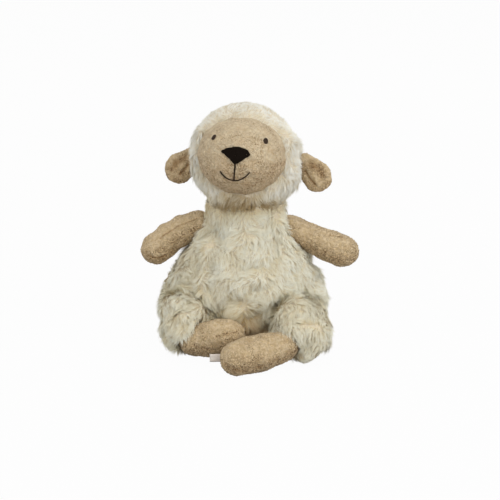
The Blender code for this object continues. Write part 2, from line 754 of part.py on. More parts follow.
def build_embroidery(pivot):
    """The nose, the eyes and the mouth."""
    nose = (
        (-NOSE_HALF_WIDTH, NOSE_TIP_RISE),
        (-NOSE_TOP_HALF_WIDTH, NOSE_TOP),
        (NOSE_TOP_HALF_WIDTH, NOSE_TOP),
        (NOSE_HALF_WIDTH, NOSE_TIP_RISE),
        (NOSE_BOTTOM_HALF_WIDTH, NOSE_BOTTOM),
        (-NOSE_BOTTOM_HALF_WIDTH, NOSE_BOTTOM),
    )
    stitched = [stitched_patch("nose_embroidery", nose, DARK_THREAD)]
    for name, side in SIDES.items():
        middle = side * EYE_SPREAD + EYE_SHIFT
        outline = [
            (
                middle + EYE_HALF_WIDTH * math.cos(math.tau * step / EAR_SEGMENTS),
                EYE_RISE + EYE_HALF_HEIGHT * math.sin(math.tau * step / EAR_SEGMENTS),
            )
            for step in range(EAR_SEGMENTS)
        ]
        stitched.append(stitched_patch(f"eye_{name}_embroidery", outline, BROWN_THREAD))
    drop = MOUTH_DROP + 2 * MOUTH_THREAD + SEWN_GAP
    places = [
        (0.0, MOUTH_START + (drop - MOUTH_START) * step / THREAD_POINTS)
        for step in range(THREAD_POINTS + 1)
    ]
    stitched.append(thread("mouth_centre_stitch", places))
    smile = []
    for step in range(2 * THREAD_POINTS + 1):
        share = step / THREAD_POINTS - 1
        smile.append((SMILE_HALF_WIDTH * share, MOUTH_DROP + SMILE_RISE * share**2))
    stitched.append(thread("mouth_smile_stitch", smile))
    hang_from(pivot, *stitched)


def build_ear(name):
    """An ear's front and back pieces on a joint at its root, and the room it needs in the hood."""
    side = SIDES[name]
    root = HEAD_POSE @ ear_root(side)
    turn = HEAD_POSE.to_3x3()
    forward, backward = turn @ Vector((0.0, -1.0, 0.0)), turn @ Vector((0.0, 1.0, 0.0))
    empty = pivot_empty(f"ear_{name}_pivot", root)
    regions = {"front": forward, "back": backward}
    for face, toward in regions.items():
        panel = ring_form(f"ear_{name}_{face}_piece", ear_rings(name, 0.0), EAR_SEGMENTS)
        keep(panel, block(f"ear_{name}_{face}_side", root + toward * SEWN_GAP / 2, toward))
        dress(panel, LOOP)
        hang_from(empty, panel)
    rings = ear_rings(name, -SEWN_GAP)
    return swept_clearance(
        f"ear_{name}_clearance", rings, root, side * forward, EAR_FLOP, EAR_SEGMENTS
    )


def build_arm(name):
    """An arm's front and back pieces and its stuffing, on a joint at the shoulder."""
    made = arm(name)
    empty = pivot_empty(f"arm_{name}_pivot", made.root)
    flat = made.end - made.root
    normal = Vector((flat.y, -flat.x, 0.0)).normalized() * SIDES[name]
    hollow = ring_form(f"arm_{name}_hollow", limb_rings(made, LOOP_FABRIC), CORE_SEGMENTS)
    as_cutter(hollow)
    for face, toward in {"front": normal, "back": -normal}.items():
        panel = ring_form(f"arm_{name}_{face}_piece", limb_rings(made, 0.0), LIMB_SEGMENTS)
        cut(panel, hollow)
        keep(panel, block(f"arm_{name}_{face}_side", made.root + toward * SEWN_GAP / 2, toward))
        dress(panel, LOOP)
        hang_from(empty, panel)
    rings = limb_rings(made, LOOP_FABRIC + SEWN_GAP)
    stuffing = ring_form(f"arm_{name}_stuffing", rings, CORE_SEGMENTS)
    dress(stuffing, WADDING)
    hang_from(empty, stuffing)


def build_leg(name, floor):
    """A leg's cover and stuffing, and the foot's upper, sole and stuffing, on a joint at the hip."""
    made, sewn_foot = leg(name), foot(name)
    empty = pivot_empty(f"leg_{name}_pivot", made.root)
    down = Vector((0.0, 0.0, -1.0))
    foot_room = ring_form(
        f"foot_{name}_room", limb_rings(sewn_foot, -SEWN_GAP), LIMB_SEGMENTS
    )
    hollow = ring_form(f"leg_{name}_hollow", limb_rings(made, PILE_FABRIC), CORE_SEGMENTS)
    cover = ring_form(f"leg_{name}_cover", limb_rings(made, 0.0), LIMB_SEGMENTS)
    cut(cover, as_cutter(hollow), as_cutter(foot_room))
    keep(cover, floor)
    dress(cover, BODY_PILE)
    rings = limb_rings(made, PILE_FABRIC + SEWN_GAP)
    stuffing = ring_form(f"leg_{name}_stuffing", rings, CORE_SEGMENTS)
    cut(stuffing, foot_room)
    dress(stuffing, WADDING)

    along = (sewn_foot.end - sewn_foot.root).normalized()
    across = along.cross(down).normalized()
    under = across.cross(along).normalized()
    if under.z > 0:
        under = -under
    seam = sewn_foot.root + under * SOLE_SEAM_DROP
    foot_hollow = ring_form(
        f"foot_{name}_hollow", limb_rings(sewn_foot, LOOP_FABRIC), CORE_SEGMENTS
    )
    as_cutter(foot_hollow)
    pieces = [cover, stuffing]
    for part, toward in {"upper": -under, "sole": under}.items():
        panel = ring_form(f"foot_{name}_{part}", limb_rings(sewn_foot, 0.0), LIMB_SEGMENTS)
        cut(panel, foot_hollow)
        keep(panel, block(f"foot_{name}_{part}_side", seam + toward * SEWN_GAP / 2, toward))
        keep(panel, floor)
        dress(panel, LOOP)
        pieces.append(panel)
    rings = limb_rings(sewn_foot, LOOP_FABRIC + SEWN_GAP)
    foot_stuffing = ring_form(f"foot_{name}_stuffing", rings, CORE_SEGMENTS)
    dress(foot_stuffing, WADDING)
    hang_from(empty, *pieces, foot_stuffing)
    return empty


def build_label(leg_pivot):
    """The blank label, sewn in beside the left foot's toe."""
    sewn_foot = foot("left")
    along = (sewn_foot.end - sewn_foot.root).normalized()
    reach = FOOT_TOE_RADIUS + SEWN_GAP + LABEL_WIDTH / 2
    centre = sewn_foot.end + Vector((along.x, 0.0, 0.0)).normalized() * reach
    bm = bmesh.new()
    size = Matrix.Diagonal((LABEL_WIDTH, LABEL_THICKNESS, LABEL_HEIGHT)).to_4x4()
    bmesh.ops.create_cube(bm, size=1, matrix=Matrix.Translation(centre) @ size)
    label = finish_mesh("care_label", bm)
    dress(label, LABEL_RIBBON)
    hang_from(leg_pivot, label)


def clear_scene():
    """Removes what the scene starts with."""
    for old in list(bpy.data.objects):
        bpy.data.objects.remove(old)


def main():
    """Builds the sheep."""
    clear_scene()
    floor = block("resting_floor", Vector((0.0, 0.0, 0.0)), Vector((0.0, 0.0, 1.0)))
    clearances = [neck_clearance()]
    for name in SIDES:
        clearances += limb_clearances(name)
    build_body(clearances)
    head_pivot = pivot_empty("head_pivot", NECK)
    build_head([build_ear(name) for name in SIDES], head_pivot)
    build_embroidery(head_pivot)
    for name in SIDES:
        build_arm(name)
    pivots = {name: build_leg(name, floor) for name in SIDES}
    build_label(pivots["left"])


main()
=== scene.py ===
"""Dresses the seated plush sheep in long ivory pile, tan loop fabric and stitched features.

Metres, +Z up. The sheep faces -Y, and its left side is at +X.
"""

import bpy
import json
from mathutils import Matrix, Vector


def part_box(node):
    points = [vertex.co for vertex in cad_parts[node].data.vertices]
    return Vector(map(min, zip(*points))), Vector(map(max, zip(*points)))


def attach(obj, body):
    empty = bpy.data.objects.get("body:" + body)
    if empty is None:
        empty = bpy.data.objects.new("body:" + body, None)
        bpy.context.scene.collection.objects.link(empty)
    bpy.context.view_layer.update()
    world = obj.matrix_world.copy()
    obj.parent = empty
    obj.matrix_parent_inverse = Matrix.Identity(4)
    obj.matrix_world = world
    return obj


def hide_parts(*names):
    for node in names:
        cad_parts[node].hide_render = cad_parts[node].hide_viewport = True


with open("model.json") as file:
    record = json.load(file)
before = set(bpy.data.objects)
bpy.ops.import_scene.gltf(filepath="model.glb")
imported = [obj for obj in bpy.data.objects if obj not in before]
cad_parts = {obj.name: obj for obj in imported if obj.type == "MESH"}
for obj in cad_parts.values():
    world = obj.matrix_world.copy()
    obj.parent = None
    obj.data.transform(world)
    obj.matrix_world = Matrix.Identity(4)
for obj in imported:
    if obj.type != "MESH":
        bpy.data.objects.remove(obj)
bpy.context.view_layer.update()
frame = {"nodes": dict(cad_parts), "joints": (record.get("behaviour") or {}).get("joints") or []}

import json
import logging
import math
from collections.abc import Callable
from dataclasses import dataclass, field
from enum import Enum

import bmesh
import bpy
import numpy as np
from mathutils import Matrix, Vector
from mathutils.bvhtree import BVHTree
from mathutils.kdtree import KDTree

LOG = logging.getLogger("sheep")
Array = np.ndarray
Colour = tuple[float, float, float, float]
Pair = tuple[float, float]
Pixels = tuple[Pair, ...]
Field = Callable[[Array], Array]
SurfaceField = Callable[[Array, Array], Array]
Mesh = bpy.types.Mesh
Node = bpy.types.Node
Piece = bpy.types.Object
Socket = bpy.types.NodeSocket
WHITE = (1.0, 1.0, 1.0, 1.0)
DOWN = np.array((0.0, 0.0, -1.0))
SIDEWAYS = (1.0, 0.35, 1.0)  # chance turns the pile less to the front and back than to the sides
BAKED_UV = "OFBake"
# cloth_shade: painted shade on a cloth or its loops, with some random tone
SHADE = "cloth_shade"
# loop_marks: how strongly the lines of painted shade between the loops show
MARKS = "loop_marks"


class Side(Enum):
    """The sheep's own sides."""

    LEFT = "left"
    RIGHT = "right"

    @property
    def sign(self) -> int:
        """1 toward +X and -1 toward -X."""
        return 1 if self is Side.LEFT else -1


@dataclass(frozen=True)
class PhotoCamera:
    """The photograph's viewpoint, with pixels counted in its 500 x 500 frame."""

    azimuth: float = math.radians(6.0)
    elevation: float = math.radians(16.0)
    distance: float = 1.5
    pixel: float = 0.00092
    origin_pixel: Pair = (246.0, 338.0)
    axis_pixel: Pair = (250.0, 240.0)
    frame_pixels: float = 500.0
    sensor: float = 36.0
    clip_end: float = 20.0

    def axes(self) -> tuple[Vector, Vector, Vector]:
        """The camera's right, up and back directions."""
        turn, rise = self.azimuth, self.elevation
        right = Vector((math.cos(turn), math.sin(turn), 0.0))
        up = Vector((-math.sin(turn) * math.sin(rise), math.cos(turn) * math.sin(rise), math.cos(rise)))
        back = Vector((math.sin(turn) * math.cos(rise), -math.cos(turn) * math.cos(rise), math.sin(rise)))
        return right, up, back

    def place(self) -> Vector:
        """Where the camera stands."""
        right, up, back = self.axes()
        across = (self.axis_pixel[0] - self.origin_pixel[0]) * self.pixel
        rise = (self.origin_pixel[1] - self.axis_pixel[1]) * self.pixel
        return right * across + up * rise + back * self.distance

    def ray(self, across: float, down: float) -> Vector:
        """The direction from the camera through a pixel of the photograph."""
        right, up, back = self.axes()
        sideways = (across - self.axis_pixel[0]) * self.pixel
        upward = (self.axis_pixel[1] - down) * self.pixel
        return (right * sideways + up * upward - back * self.distance).normalized()

    def build(self) -> None:
        """Makes the scene's camera."""
        data = bpy.data.cameras.new("photo_camera")
        half = self.frame_pixels / 2
        data.sensor_width = self.sensor
        data.lens = self.sensor * self.distance / (self.frame_pixels * self.pixel)
        data.shift_x = (half - self.axis_pixel[0]) / self.frame_pixels
        data.shift_y = (self.axis_pixel[1] - half) / self.frame_pixels
        data.clip_end = self.clip_end
        camera = link("photo_camera", data)
        camera.matrix_world = Matrix.Translation(self.place()) @ Matrix(self.axes()).transposed().to_4x4()
        bpy.context.scene.camera = camera


CAMERA = PhotoCamera()


@dataclass(frozen=True)
class WaveField:
    """A smooth random field, made of plane waves of about one length."""

    wavelength: float
    seed: int
    waves: int = 40

    def at(self, places: Array, channels: int = 1) -> Array:
        """The field's values, which spread about as widely as a standard normal.

        Args:
            places: Points, one to a row.
            channels: How many values each point gets.

        Returns:
            One row of values to each point, or a flat array for one channel.
        """
        rng = np.random.default_rng(self.seed)
        ways = rng.normal(size=(self.waves, 3))
        ways /= np.linalg.norm(ways, axis=1, keepdims=True)
        ways *= math.tau / self.wavelength * rng.uniform(0.75, 1.3, (self.waves, 1))
        phases = rng.uniform(0.0, math.tau, self.waves)
        weights = rng.normal(size=(self.waves, channels))
        values = np.sin(places @ ways.T + phases) @ weights * math.sqrt(2 / self.waves)
        return values[:, 0] if channels == 1 else values


def eased(values: Array, low: float, high: float) -> Array:
    """Zero below the low value, one above the high one, and eased between."""
    share = np.clip((values - low) / (high - low), 0.0, 1.0)
    return share * share * (3 - 2 * share)


def unit(rows: Array) -> Array:
    """The rows, each at length one."""
    return rows / np.maximum(np.linalg.norm(rows, axis=1, keepdims=True), 1e-12)


def along_surface(ways: Array, normals: Array) -> Array:
    """The ways laid down on the surface, each at length one."""
    return unit(ways - (ways * normals).sum(1, keepdims=True) * normals)


def everywhere(places: Array) -> Array:
    """True for every place."""
    return np.ones(len(places), bool)


def link(name: str, data: bpy.types.ID) -> Piece:
    """Makes an object of the data, at the origin."""
    made = bpy.data.objects.new(name, data)
    bpy.context.scene.collection.objects.link(made)
    return made


def piece_of(name: str, bm: bmesh.types.BMesh) -> Piece:
    """Makes an object of the bmesh, and frees it."""
    mesh = bpy.data.meshes.new(name)
    bm.to_mesh(mesh)
    bm.free()
    return link(name, mesh)


def evaluated_mesh(made: Piece) -> Mesh:
    """A mesh of the object as its modifiers leave it."""
    graph = bpy.context.evaluated_depsgraph_get()
    return bpy.data.meshes.new_from_object(made.evaluated_get(graph), depsgraph=graph)


def settle(made: Piece) -> None:
    """Applies all the object's modifiers to its mesh."""
    mesh, old = evaluated_mesh(made), made.data
    made.modifiers.clear()
    made.data = mesh
    mesh.name = made.name
    bpy.data.meshes.remove(old)


def surface(mesh: Mesh) -> tuple[Array, Array]:
    """The mesh's points and their normals."""
    count = len(mesh.vertices)
    places, normals = np.empty(count * 3), np.empty(count * 3, np.float32)
    mesh.vertices.foreach_get("co", places)
    mesh.vertex_normals.foreach_get("vector", normals)
    return places.reshape(-1, 3), normals.reshape(-1, 3).astype(float)


def move_points(mesh: Mesh, places: Array) -> None:
    """Puts the mesh's points at the given places."""
    mesh.vertices.foreach_set("co", places.astype(np.float32).ravel())
    mesh.update()


def store(mesh: Mesh, name: str, values: Array) -> None:
    """Keeps a value for each of the mesh's points, for its shader."""
    mesh.attributes.new(name, "FLOAT", "POINT").data.foreach_set("value", values.astype(np.float32))


def node_meshes(*nodes: str) -> bmesh.types.BMesh:
    """The named nodes' meshes, together in one."""
    bm = bmesh.new()
    for node in nodes:
        bm.from_mesh(frame["nodes"][node].data)
    return bm


def scatter(mesh: Mesh, count: int, rng: np.random.Generator) -> tuple[Array, Array]:
    """Spreads points evenly over a mesh.

    Args:
        mesh: The mesh to cover.
        count: How many points it gets.
        rng: The source of chance.

    Returns:
        The points and the smooth normals there.
    """
    mesh.calc_loop_triangles()
    corners = np.empty(len(mesh.loop_triangles) * 3, np.int32)
    mesh.loop_triangles.foreach_get("vertices", corners)
    corners = corners.reshape(-1, 3)
    places, normals = surface(mesh)
    ends = places[corners]
    areas = np.linalg.norm(np.cross(ends[:, 1] - ends[:, 0], ends[:, 2] - ends[:, 0]), axis=1)
    chosen = rng.choice(len(areas), count, p=areas / areas.sum())
    shares = rng.random((count, 2))
    shares = np.where(shares.sum(1, keepdims=True) > 1, 1 - shares, shares)
    weights = np.column_stack((1 - shares.sum(1), shares))[:, :, None]
    points = (weights * ends[chosen]).sum(1)
    return points, unit((weights * normals[corners][chosen]).sum(1))


def mesh_area(mesh: Mesh) -> float:
    """The mesh's whole area."""
    areas = np.empty(len(mesh.polygons))
    mesh.polygons.foreach_get("area", areas)
    return float(areas.sum())


class NodeTools:
    """Short ways to make and join shader nodes in one tree."""

    def __init__(self, tree: bpy.types.NodeTree) -> None:
        """Works on the given tree."""
        self.tree = tree

    def feed(self, node: Node, inputs: dict[str | int, object]) -> Node:
        """Sets the node's inputs, links those that get a socket, and returns the node."""
        for key, value in inputs.items():
            if isinstance(value, Socket):
                self.tree.links.new(value, node.inputs[key])
            else:
                node.inputs[key].default_value = value
        return node

    def node(self, kind: str, inputs: dict[str | int, object] | None = None, **values: object) -> Node:
        """A new node.

        Args:
            kind: The node's type.
            inputs: The value or the socket for each input.
            values: The node's attributes.

        Returns:
            The node.
        """
        made = self.tree.nodes.new(kind)
        for name, value in values.items():
            setattr(made, name, value)
        return self.feed(made, inputs or {})

    def noise(self, place: Socket, scale: object, detail: float = 1.0, twist: float = 0.0) -> Socket:
        """Values that wander about one half, in so many waves to a metre."""
        inputs = {"Vector": place, "Scale": scale, "Detail": detail, "Distortion": twist}
        return self.node("ShaderNodeTexNoise", inputs).outputs["Fac"]

    def math(self, operation: str, *terms: object, use_clamp: bool = False) -> Socket:
        """The outcome of the operation on its terms."""
        made = self.node("ShaderNodeMath", dict(enumerate(terms)), operation=operation, use_clamp=use_clamp)
        return made.outputs["Value"]

    def ramp(self, source: Socket, stops: tuple[tuple[float, Colour], ...]) -> Socket:
        """A colour ramp of the source's values.

        Args:
            source: The socket with the values.
            stops: Each stop's place and colour.

        Returns:
            The ramp's colour socket.
        """
        made = self.node("ShaderNodeValToRGB", {"Fac": source})
        points = made.color_ramp.elements
        while len(points) < len(stops):
            points.new(1.0)
        for point, (place, colour) in zip(points, stops):
            point.position, point.color = place, colour
        return made.outputs["Color"]

    def multiply(self, first: Socket, second: object) -> Socket:
        """The two colours multiplied."""
        inputs = {"Factor": 1.0, "A": first, "B": second}
        return self.node("ShaderNodeMix", inputs, data_type="RGBA", blend_type="MULTIPLY").outputs["Result"]

    def bump(self, height: Socket, distance: float) -> Socket:
        """The normal of a relief."""
        return self.node("ShaderNodeBump", {"Height": height, "Distance": distance}).outputs["Normal"]


def mottle_group() -> bpy.types.NodeTree:
    """The shared group of soft cloudy tone over a cloth, with a coarse and a fine grain."""
    known = bpy.data.node_groups.get("cloth_mottle")
    if known:
        return known
    tree = bpy.data.node_groups.new("cloth_mottle", "ShaderNodeTree")
    tree.interface.new_socket("Vector", in_out="INPUT", socket_type="NodeSocketVector")
    for way, names in (("INPUT", ("Coarse", "Fine", "Dark", "Light")), ("OUTPUT", ("Tone", "Grain"))):
        for name in names:
            tree.interface.new_socket(name, in_out=way, socket_type="NodeSocketFloat")
    tools = NodeTools(tree)
    given = tools.node("NodeGroupInput").outputs
    coarse = tools.noise(given["Vector"], given["Coarse"], 4.0)
    fine = tools.noise(given["Vector"], given["Fine"], 2.0)
    mixed = tools.node("ShaderNodeMix", {"Factor": 0.45, "A": coarse, "B": fine}).outputs["Result"]
    spread = {
        "Value": mixed, "From Min": 0.3, "From Max": 0.7, "To Min": given["Dark"], "To Max": given["Light"],
    }
    tone = tools.node("ShaderNodeMapRange", spread).outputs["Result"]
    tools.node("NodeGroupOutput", {"Tone": tone, "Grain": fine})
    return tree


@dataclass(frozen=True)
class Finish:
    """A finish with its record slot, roughness and sheen, which its kinds colour in their own way."""

    name: str
    slot: str
    roughness: float
    specular: float = 0.25
    sheen: float = 0.0
    sheen_roughness: float = 0.5

    def inputs(self, tools: NodeTools) -> dict[str, Socket]:
        """The shader's inputs for the finish's colour and relief."""
        raise NotImplementedError

    def material(self) -> bpy.types.Material:
        """The finish's one material."""
        known = bpy.data.materials.get(self.name)
        if known:
            return known
        material = bpy.data.materials.new(self.name)
        material.use_nodes = True
        tools = NodeTools(material.node_tree)
        plain = {
            "Roughness": self.roughness, "Specular IOR Level": self.specular,
            "Sheen Weight": self.sheen, "Sheen Roughness": self.sheen_roughness,
        }
        tools.feed(material.node_tree.nodes["Principled BSDF"], plain | self.inputs(tools))
        return material

    def put_on(self, made: Piece) -> None:
        """Gives the object this finish."""
        made.data.materials.clear()
        made.data.materials.append(self.material())


@dataclass(frozen=True)
class PileFinish(Finish):
    """Pile whose colour changes along each hair, and from tuft to tuft."""

    # The brown end is reached only where painted shade lowers a hair's tone.
    brown: Colour = (0.74, 0.56, 0.33, 1.0)
    cream: Colour = (0.82, 0.745, 0.53, 1.0)
    ivory: Colour = (0.93, 0.92, 0.80, 1.0)
    # Darker, warmer roots: partly the backing's own colour, partly painted shade deep in the pile.
    root_shade: Colour = (0.88, 0.74, 0.48, 1.0)

    def inputs(self, tools: NodeTools) -> dict[str, Socket]:
        """The tuft's tone across the hair's own map, which carries painted light and shade by place, and the
        way from root to tip along it, with partly painted shade at the roots.
        """
        places = tools.node("ShaderNodeUVMap", uv_map=BAKED_UV).outputs["UV"]
        split = tools.node("ShaderNodeSeparateXYZ", {"Vector": places}).outputs
        tone = tools.ramp(split["X"], ((0.0, self.brown), (0.45, self.cream), (1.0, self.ivory)))
        way = tools.ramp(split["Y"], ((0.0, self.root_shade), (0.55, WHITE)))
        return {"Base Color": tools.multiply(tone, way)}


@dataclass(frozen=True)
class ClothFinish(Finish):
    """Plain cloth with a cloudy tone and a fine grain, as under the pile and on the label."""

    base: Colour = (0.5, 0.5, 0.5, 1.0)
    coarse: float = 60.0
    fine: float = 900.0
    dark_share: float = 0.8
    light_share: float = 1.1
    relief: float = 0.0002

    def inputs(self, tools: NodeTools) -> dict[str, Socket]:
        """The cloudy tone over the base colour, and the grain in relief."""
        inputs = {
            "Vector": tools.node("ShaderNodeTexCoord").outputs["Object"], "Coarse": self.coarse,
            "Fine": self.fine, "Dark": self.dark_share, "Light": self.light_share,
        }
        mottle = tools.node("ShaderNodeGroup", inputs, node_tree=mottle_group()).outputs
        tone = tools.multiply(mottle["Tone"], self.base)
        return {"Base Color": tone, "Normal": tools.bump(mottle["Grain"], self.relief)}


@dataclass(frozen=True)
class LoopFinish(Finish):
    """Loop fabric, tan on its loops, with short dark lines of painted shade in the gaps where they part."""

    # gap: painted shade down in the gaps between the loops
    gap: Colour = (0.09, 0.042, 0.014, 1.0)
    top: Colour = (0.63, 0.47, 0.265, 1.0)
    pale: Colour = (0.76, 0.60, 0.385, 1.0)
    # seam: the colour of painted shade on the undersides and in the seams and creases, where the shade value
    # runs low
    seam: Colour = (0.42, 0.24, 0.07, 1.0)
    fineness: float = 480.0
    line: float = 0.070
    twist: float = 0.8
    pale_from: float = 0.2
    plain_share: float = 0.7
    patch_share: float = 0.42
    patch_range: Pair = (0.26, 0.54)
    relief: float = 0.0030

    def inputs(self, tools: NodeTools) -> dict[str, Socket]:
        """Lines of painted shade between the loops where the cloth is marked, with painted shade on the
        undersides and in the seams and creases, and a low relief.
        """
        place = tools.node("ShaderNodeTexCoord").outputs["Object"]
        loops = tools.noise(place, self.fineness, twist=self.twist)
        # The gap colour at the middle of each line paints the shade between the loops.
        sides = ((0.5 - self.pale_from, self.pale), (0.5 - self.line, self.top), (0.5, self.gap))
        mirrored = ((0.5 + self.line, self.top), (0.5 + self.pale_from, self.pale))
        lined = tools.ramp(loops, sides + mirrored)
        plain = tools.noise(place, self.fineness * self.plain_share)
        plain = tools.ramp(plain, ((0.35, self.top), (0.65, self.pale)))
        low, high = self.patch_range
        patch = tools.noise(place, self.fineness * self.patch_share)
        patch = {"Value": patch, "From Min": low, "From Max": high}
        patch = tools.node("ShaderNodeMapRange", patch).outputs["Result"]
        marks, shade = (
            tools.node("ShaderNodeAttribute", attribute_name=name).outputs["Fac"] for name in (MARKS, SHADE)
        )
        # How strongly the lines of painted shade show: more on the undersides and at the seams, and in
        # patches.
        share = tools.math("MULTIPLY", patch, marks, use_clamp=True)
        mixed = tools.node("ShaderNodeMix", {"Factor": share, "A": plain, "B": lined}, data_type="RGBA")
        # Painted shade: the cloth darkens toward the seam colour where it faces down and in its grooves.
        painted_shade = tools.ramp(shade, ((0.0, self.seam), (0.75, WHITE)))
        raised = tools.math("ABSOLUTE", tools.math("SUBTRACT", loops, 0.5))
        return {
            "Base Color": tools.multiply(mixed.outputs["Result"], painted_shade),
            "Normal": tools.bump(raised, self.relief),
        }


# Each pile's brown is the colour of its painted shade; the hood's is darker, for the shade below the chin.
BODY_PILE = PileFinish("body_pile", "fur_body", 0.85, sheen=0.1)
HOOD_PILE = PileFinish(
    "hood_pile", "fur_hood", 0.85, sheen=0.1,
    brown=(0.38, 0.27, 0.13, 1.0), cream=(0.82, 0.75, 0.57, 1.0), ivory=(0.94, 0.93, 0.86, 1.0),
)
BODY_PUFFS = WaveField(0.019, 91)
HOOD_PUFFS = WaveField(0.022, 92)
PILE_GROUND = ClothFinish("pile_ground", "fur_body", 0.95, base=(0.74, 0.65, 0.49, 1.0))
HOOD_GROUND = ClothFinish("hood_ground", "fur_hood", 0.95, base=(0.76, 0.67, 0.52, 1.0))
LOOPS = LoopFinish("limb_loops", "loop_fabric", 0.92, sheen=0.08)
FACE_LOOPS = LoopFinish(
    "face_loops", "loop_fabric", 0.92, sheen=0.08,
    gap=(0.15, 0.068, 0.020, 1.0), top=(0.67, 0.52, 0.32, 1.0), pale=(0.78, 0.65, 0.45, 1.0),
    seam=(0.60, 0.34, 0.09, 1.0), fineness=560.0, line=0.060,
)
NOSE_THREAD = ClothFinish("nose_thread", "dark_thread", 0.8, 0.06, base=(0.008, 0.005, 0.003, 1.0))
LINE_THREAD = ClothFinish("line_thread", "brown_thread", 0.7, 0.1, base=(0.022, 0.012, 0.007, 1.0))
EYE_THREAD = ClothFinish("eye_thread", "brown_thread", 0.6, 0.2, base=(0.034, 0.018, 0.009, 1.0))
WADDING = ClothFinish("neck_wadding", "wadding", 1.0, base=(0.80, 0.80, 0.77, 1.0))
RIBBON = ClothFinish("blank_ribbon", "label_ribbon", 0.7, base=(0.80, 0.72, 0.64, 1.0))


@dataclass(frozen=True)
class Strip:
    """A tapered strip of cloth fibre, laid along many curves at once."""

    steps: int = 3
    tip_share: float = 0.0
    softness: float = 0.50

    def pattern(self) -> tuple[Array, Array, list[list[int]]]:
        """One strip's points and faces.

        Returns:
            Each point's place across and along the strip, and the faces between them.
        """
        bm = bmesh.new()
        bmesh.ops.create_grid(bm, x_segments=1, y_segments=self.steps, size=1)
        if self.tip_share == 0:
            tip = [vert for vert in bm.verts if vert.co.y > 1 - 1e-6]
            bmesh.ops.pointmerge(bm, verts=tip, merge_co=(0.0, 1.0, 0.0))
        bm.verts.index_update()
        across = np.array([vert.co.x for vert in bm.verts])
        along = np.array([(vert.co.y + 1) / 2 for vert in bm.verts])
        faces = [[vert.index for vert in face.verts] for face in bm.faces]
        bm.free()
        return across, along, faces

    def lay(self, name: str, curves: "Curves") -> Piece:
        """Lays a strip along each curve.

        Args:
            name: The new object's name.
            curves: The curves, with their widths and tones.

        Returns:
            One object with all the strips. Arrays hold the points, since one operator to a hair is too slow.
        """
        across, along, faces = self.pattern()
        count, points = len(curves.root), len(across)
        share = along[None, :, None]
        line = (
            curves.root[:, None] * (1 - share) ** 2
            + curves.bend[:, None] * 2 * share * (1 - share)
            + curves.tip[:, None] * share**2
        )
        taper = 1 - (1 - self.tip_share) * along**1.6
        half = curves.width[:, None] / 2 * taper[None] * across[None]
        places = line + curves.side[:, None] * half[:, :, None]
        corners = np.concatenate([np.array(face) for face in faces])
        sizes = np.array([len(face) for face in faces])
        bases = np.arange(count)[:, None]
        mesh = bpy.data.meshes.new(name)
        mesh.vertices.add(count * points)
        mesh.vertices.foreach_set("co", places.astype(np.float32).ravel())
        mesh.loops.add(count * len(corners))
        mesh.loops.foreach_set("vertex_index", (bases * points + corners).astype(np.int32).ravel())
        starts = np.concatenate(([0], np.cumsum(sizes)[:-1]))
        mesh.polygons.add(count * len(sizes))
        mesh.polygons.foreach_set("loop_start", (bases * len(corners) + starts).astype(np.int32).ravel())
        mesh.update(calc_edges=True)
        tone = np.clip(curves.tone, 0.01, 0.98)[:, None] + 0.004 * across[None, corners]
        where = np.stack((tone, np.broadcast_to(along[corners] * 0.96 + 0.02, tone.shape)), axis=2)
        mesh.uv_layers.new(name=BAKED_UV).uv.foreach_set("vector", where.astype(np.float32).ravel())
        store(mesh, SHADE, np.repeat(curves.tone, points))
        mesh.shade_smooth()
        under = np.repeat(curves.normal, points, axis=0)
        mixed = unit(surface(mesh)[1] * (1 - self.softness) + under * self.softness)
        mesh.normals_split_custom_set_from_vertices(mixed.astype(np.float32))
        return link(name, mesh)


@dataclass
class Curves:
    """Many short curves, each bent once, with the width, side, tone and ground normal of its strip."""

    root: Array
    bend: Array
    tip: Array
    width: Array
    side: Array
    tone: Array
    normal: Array

    def chosen(self, kept: Array) -> "Curves":
        """The curves that the mask keeps."""
        return Curves(*(values[kept] for values in vars(self).values()))


def side_of(root: Array, tip: Array, normal: Array, roll: Array) -> Array:
    """The way across each strip, rolled out of the surface by the given angles."""
    way = unit(tip - root)
    side = unit(np.cross(way, normal))
    lift = np.cross(side, way)
    return side * np.cos(roll)[:, None] + lift * np.sin(roll)[:, None]


def nearest_of(chosen: Array, places: Array) -> Array:
    """The index of the chosen point that is nearest to each place."""
    tree = KDTree(len(chosen))
    for index, place in enumerate(chosen):
        tree.insert(place, index)
    tree.balance()
    return np.array([tree.find(place)[1] for place in places])


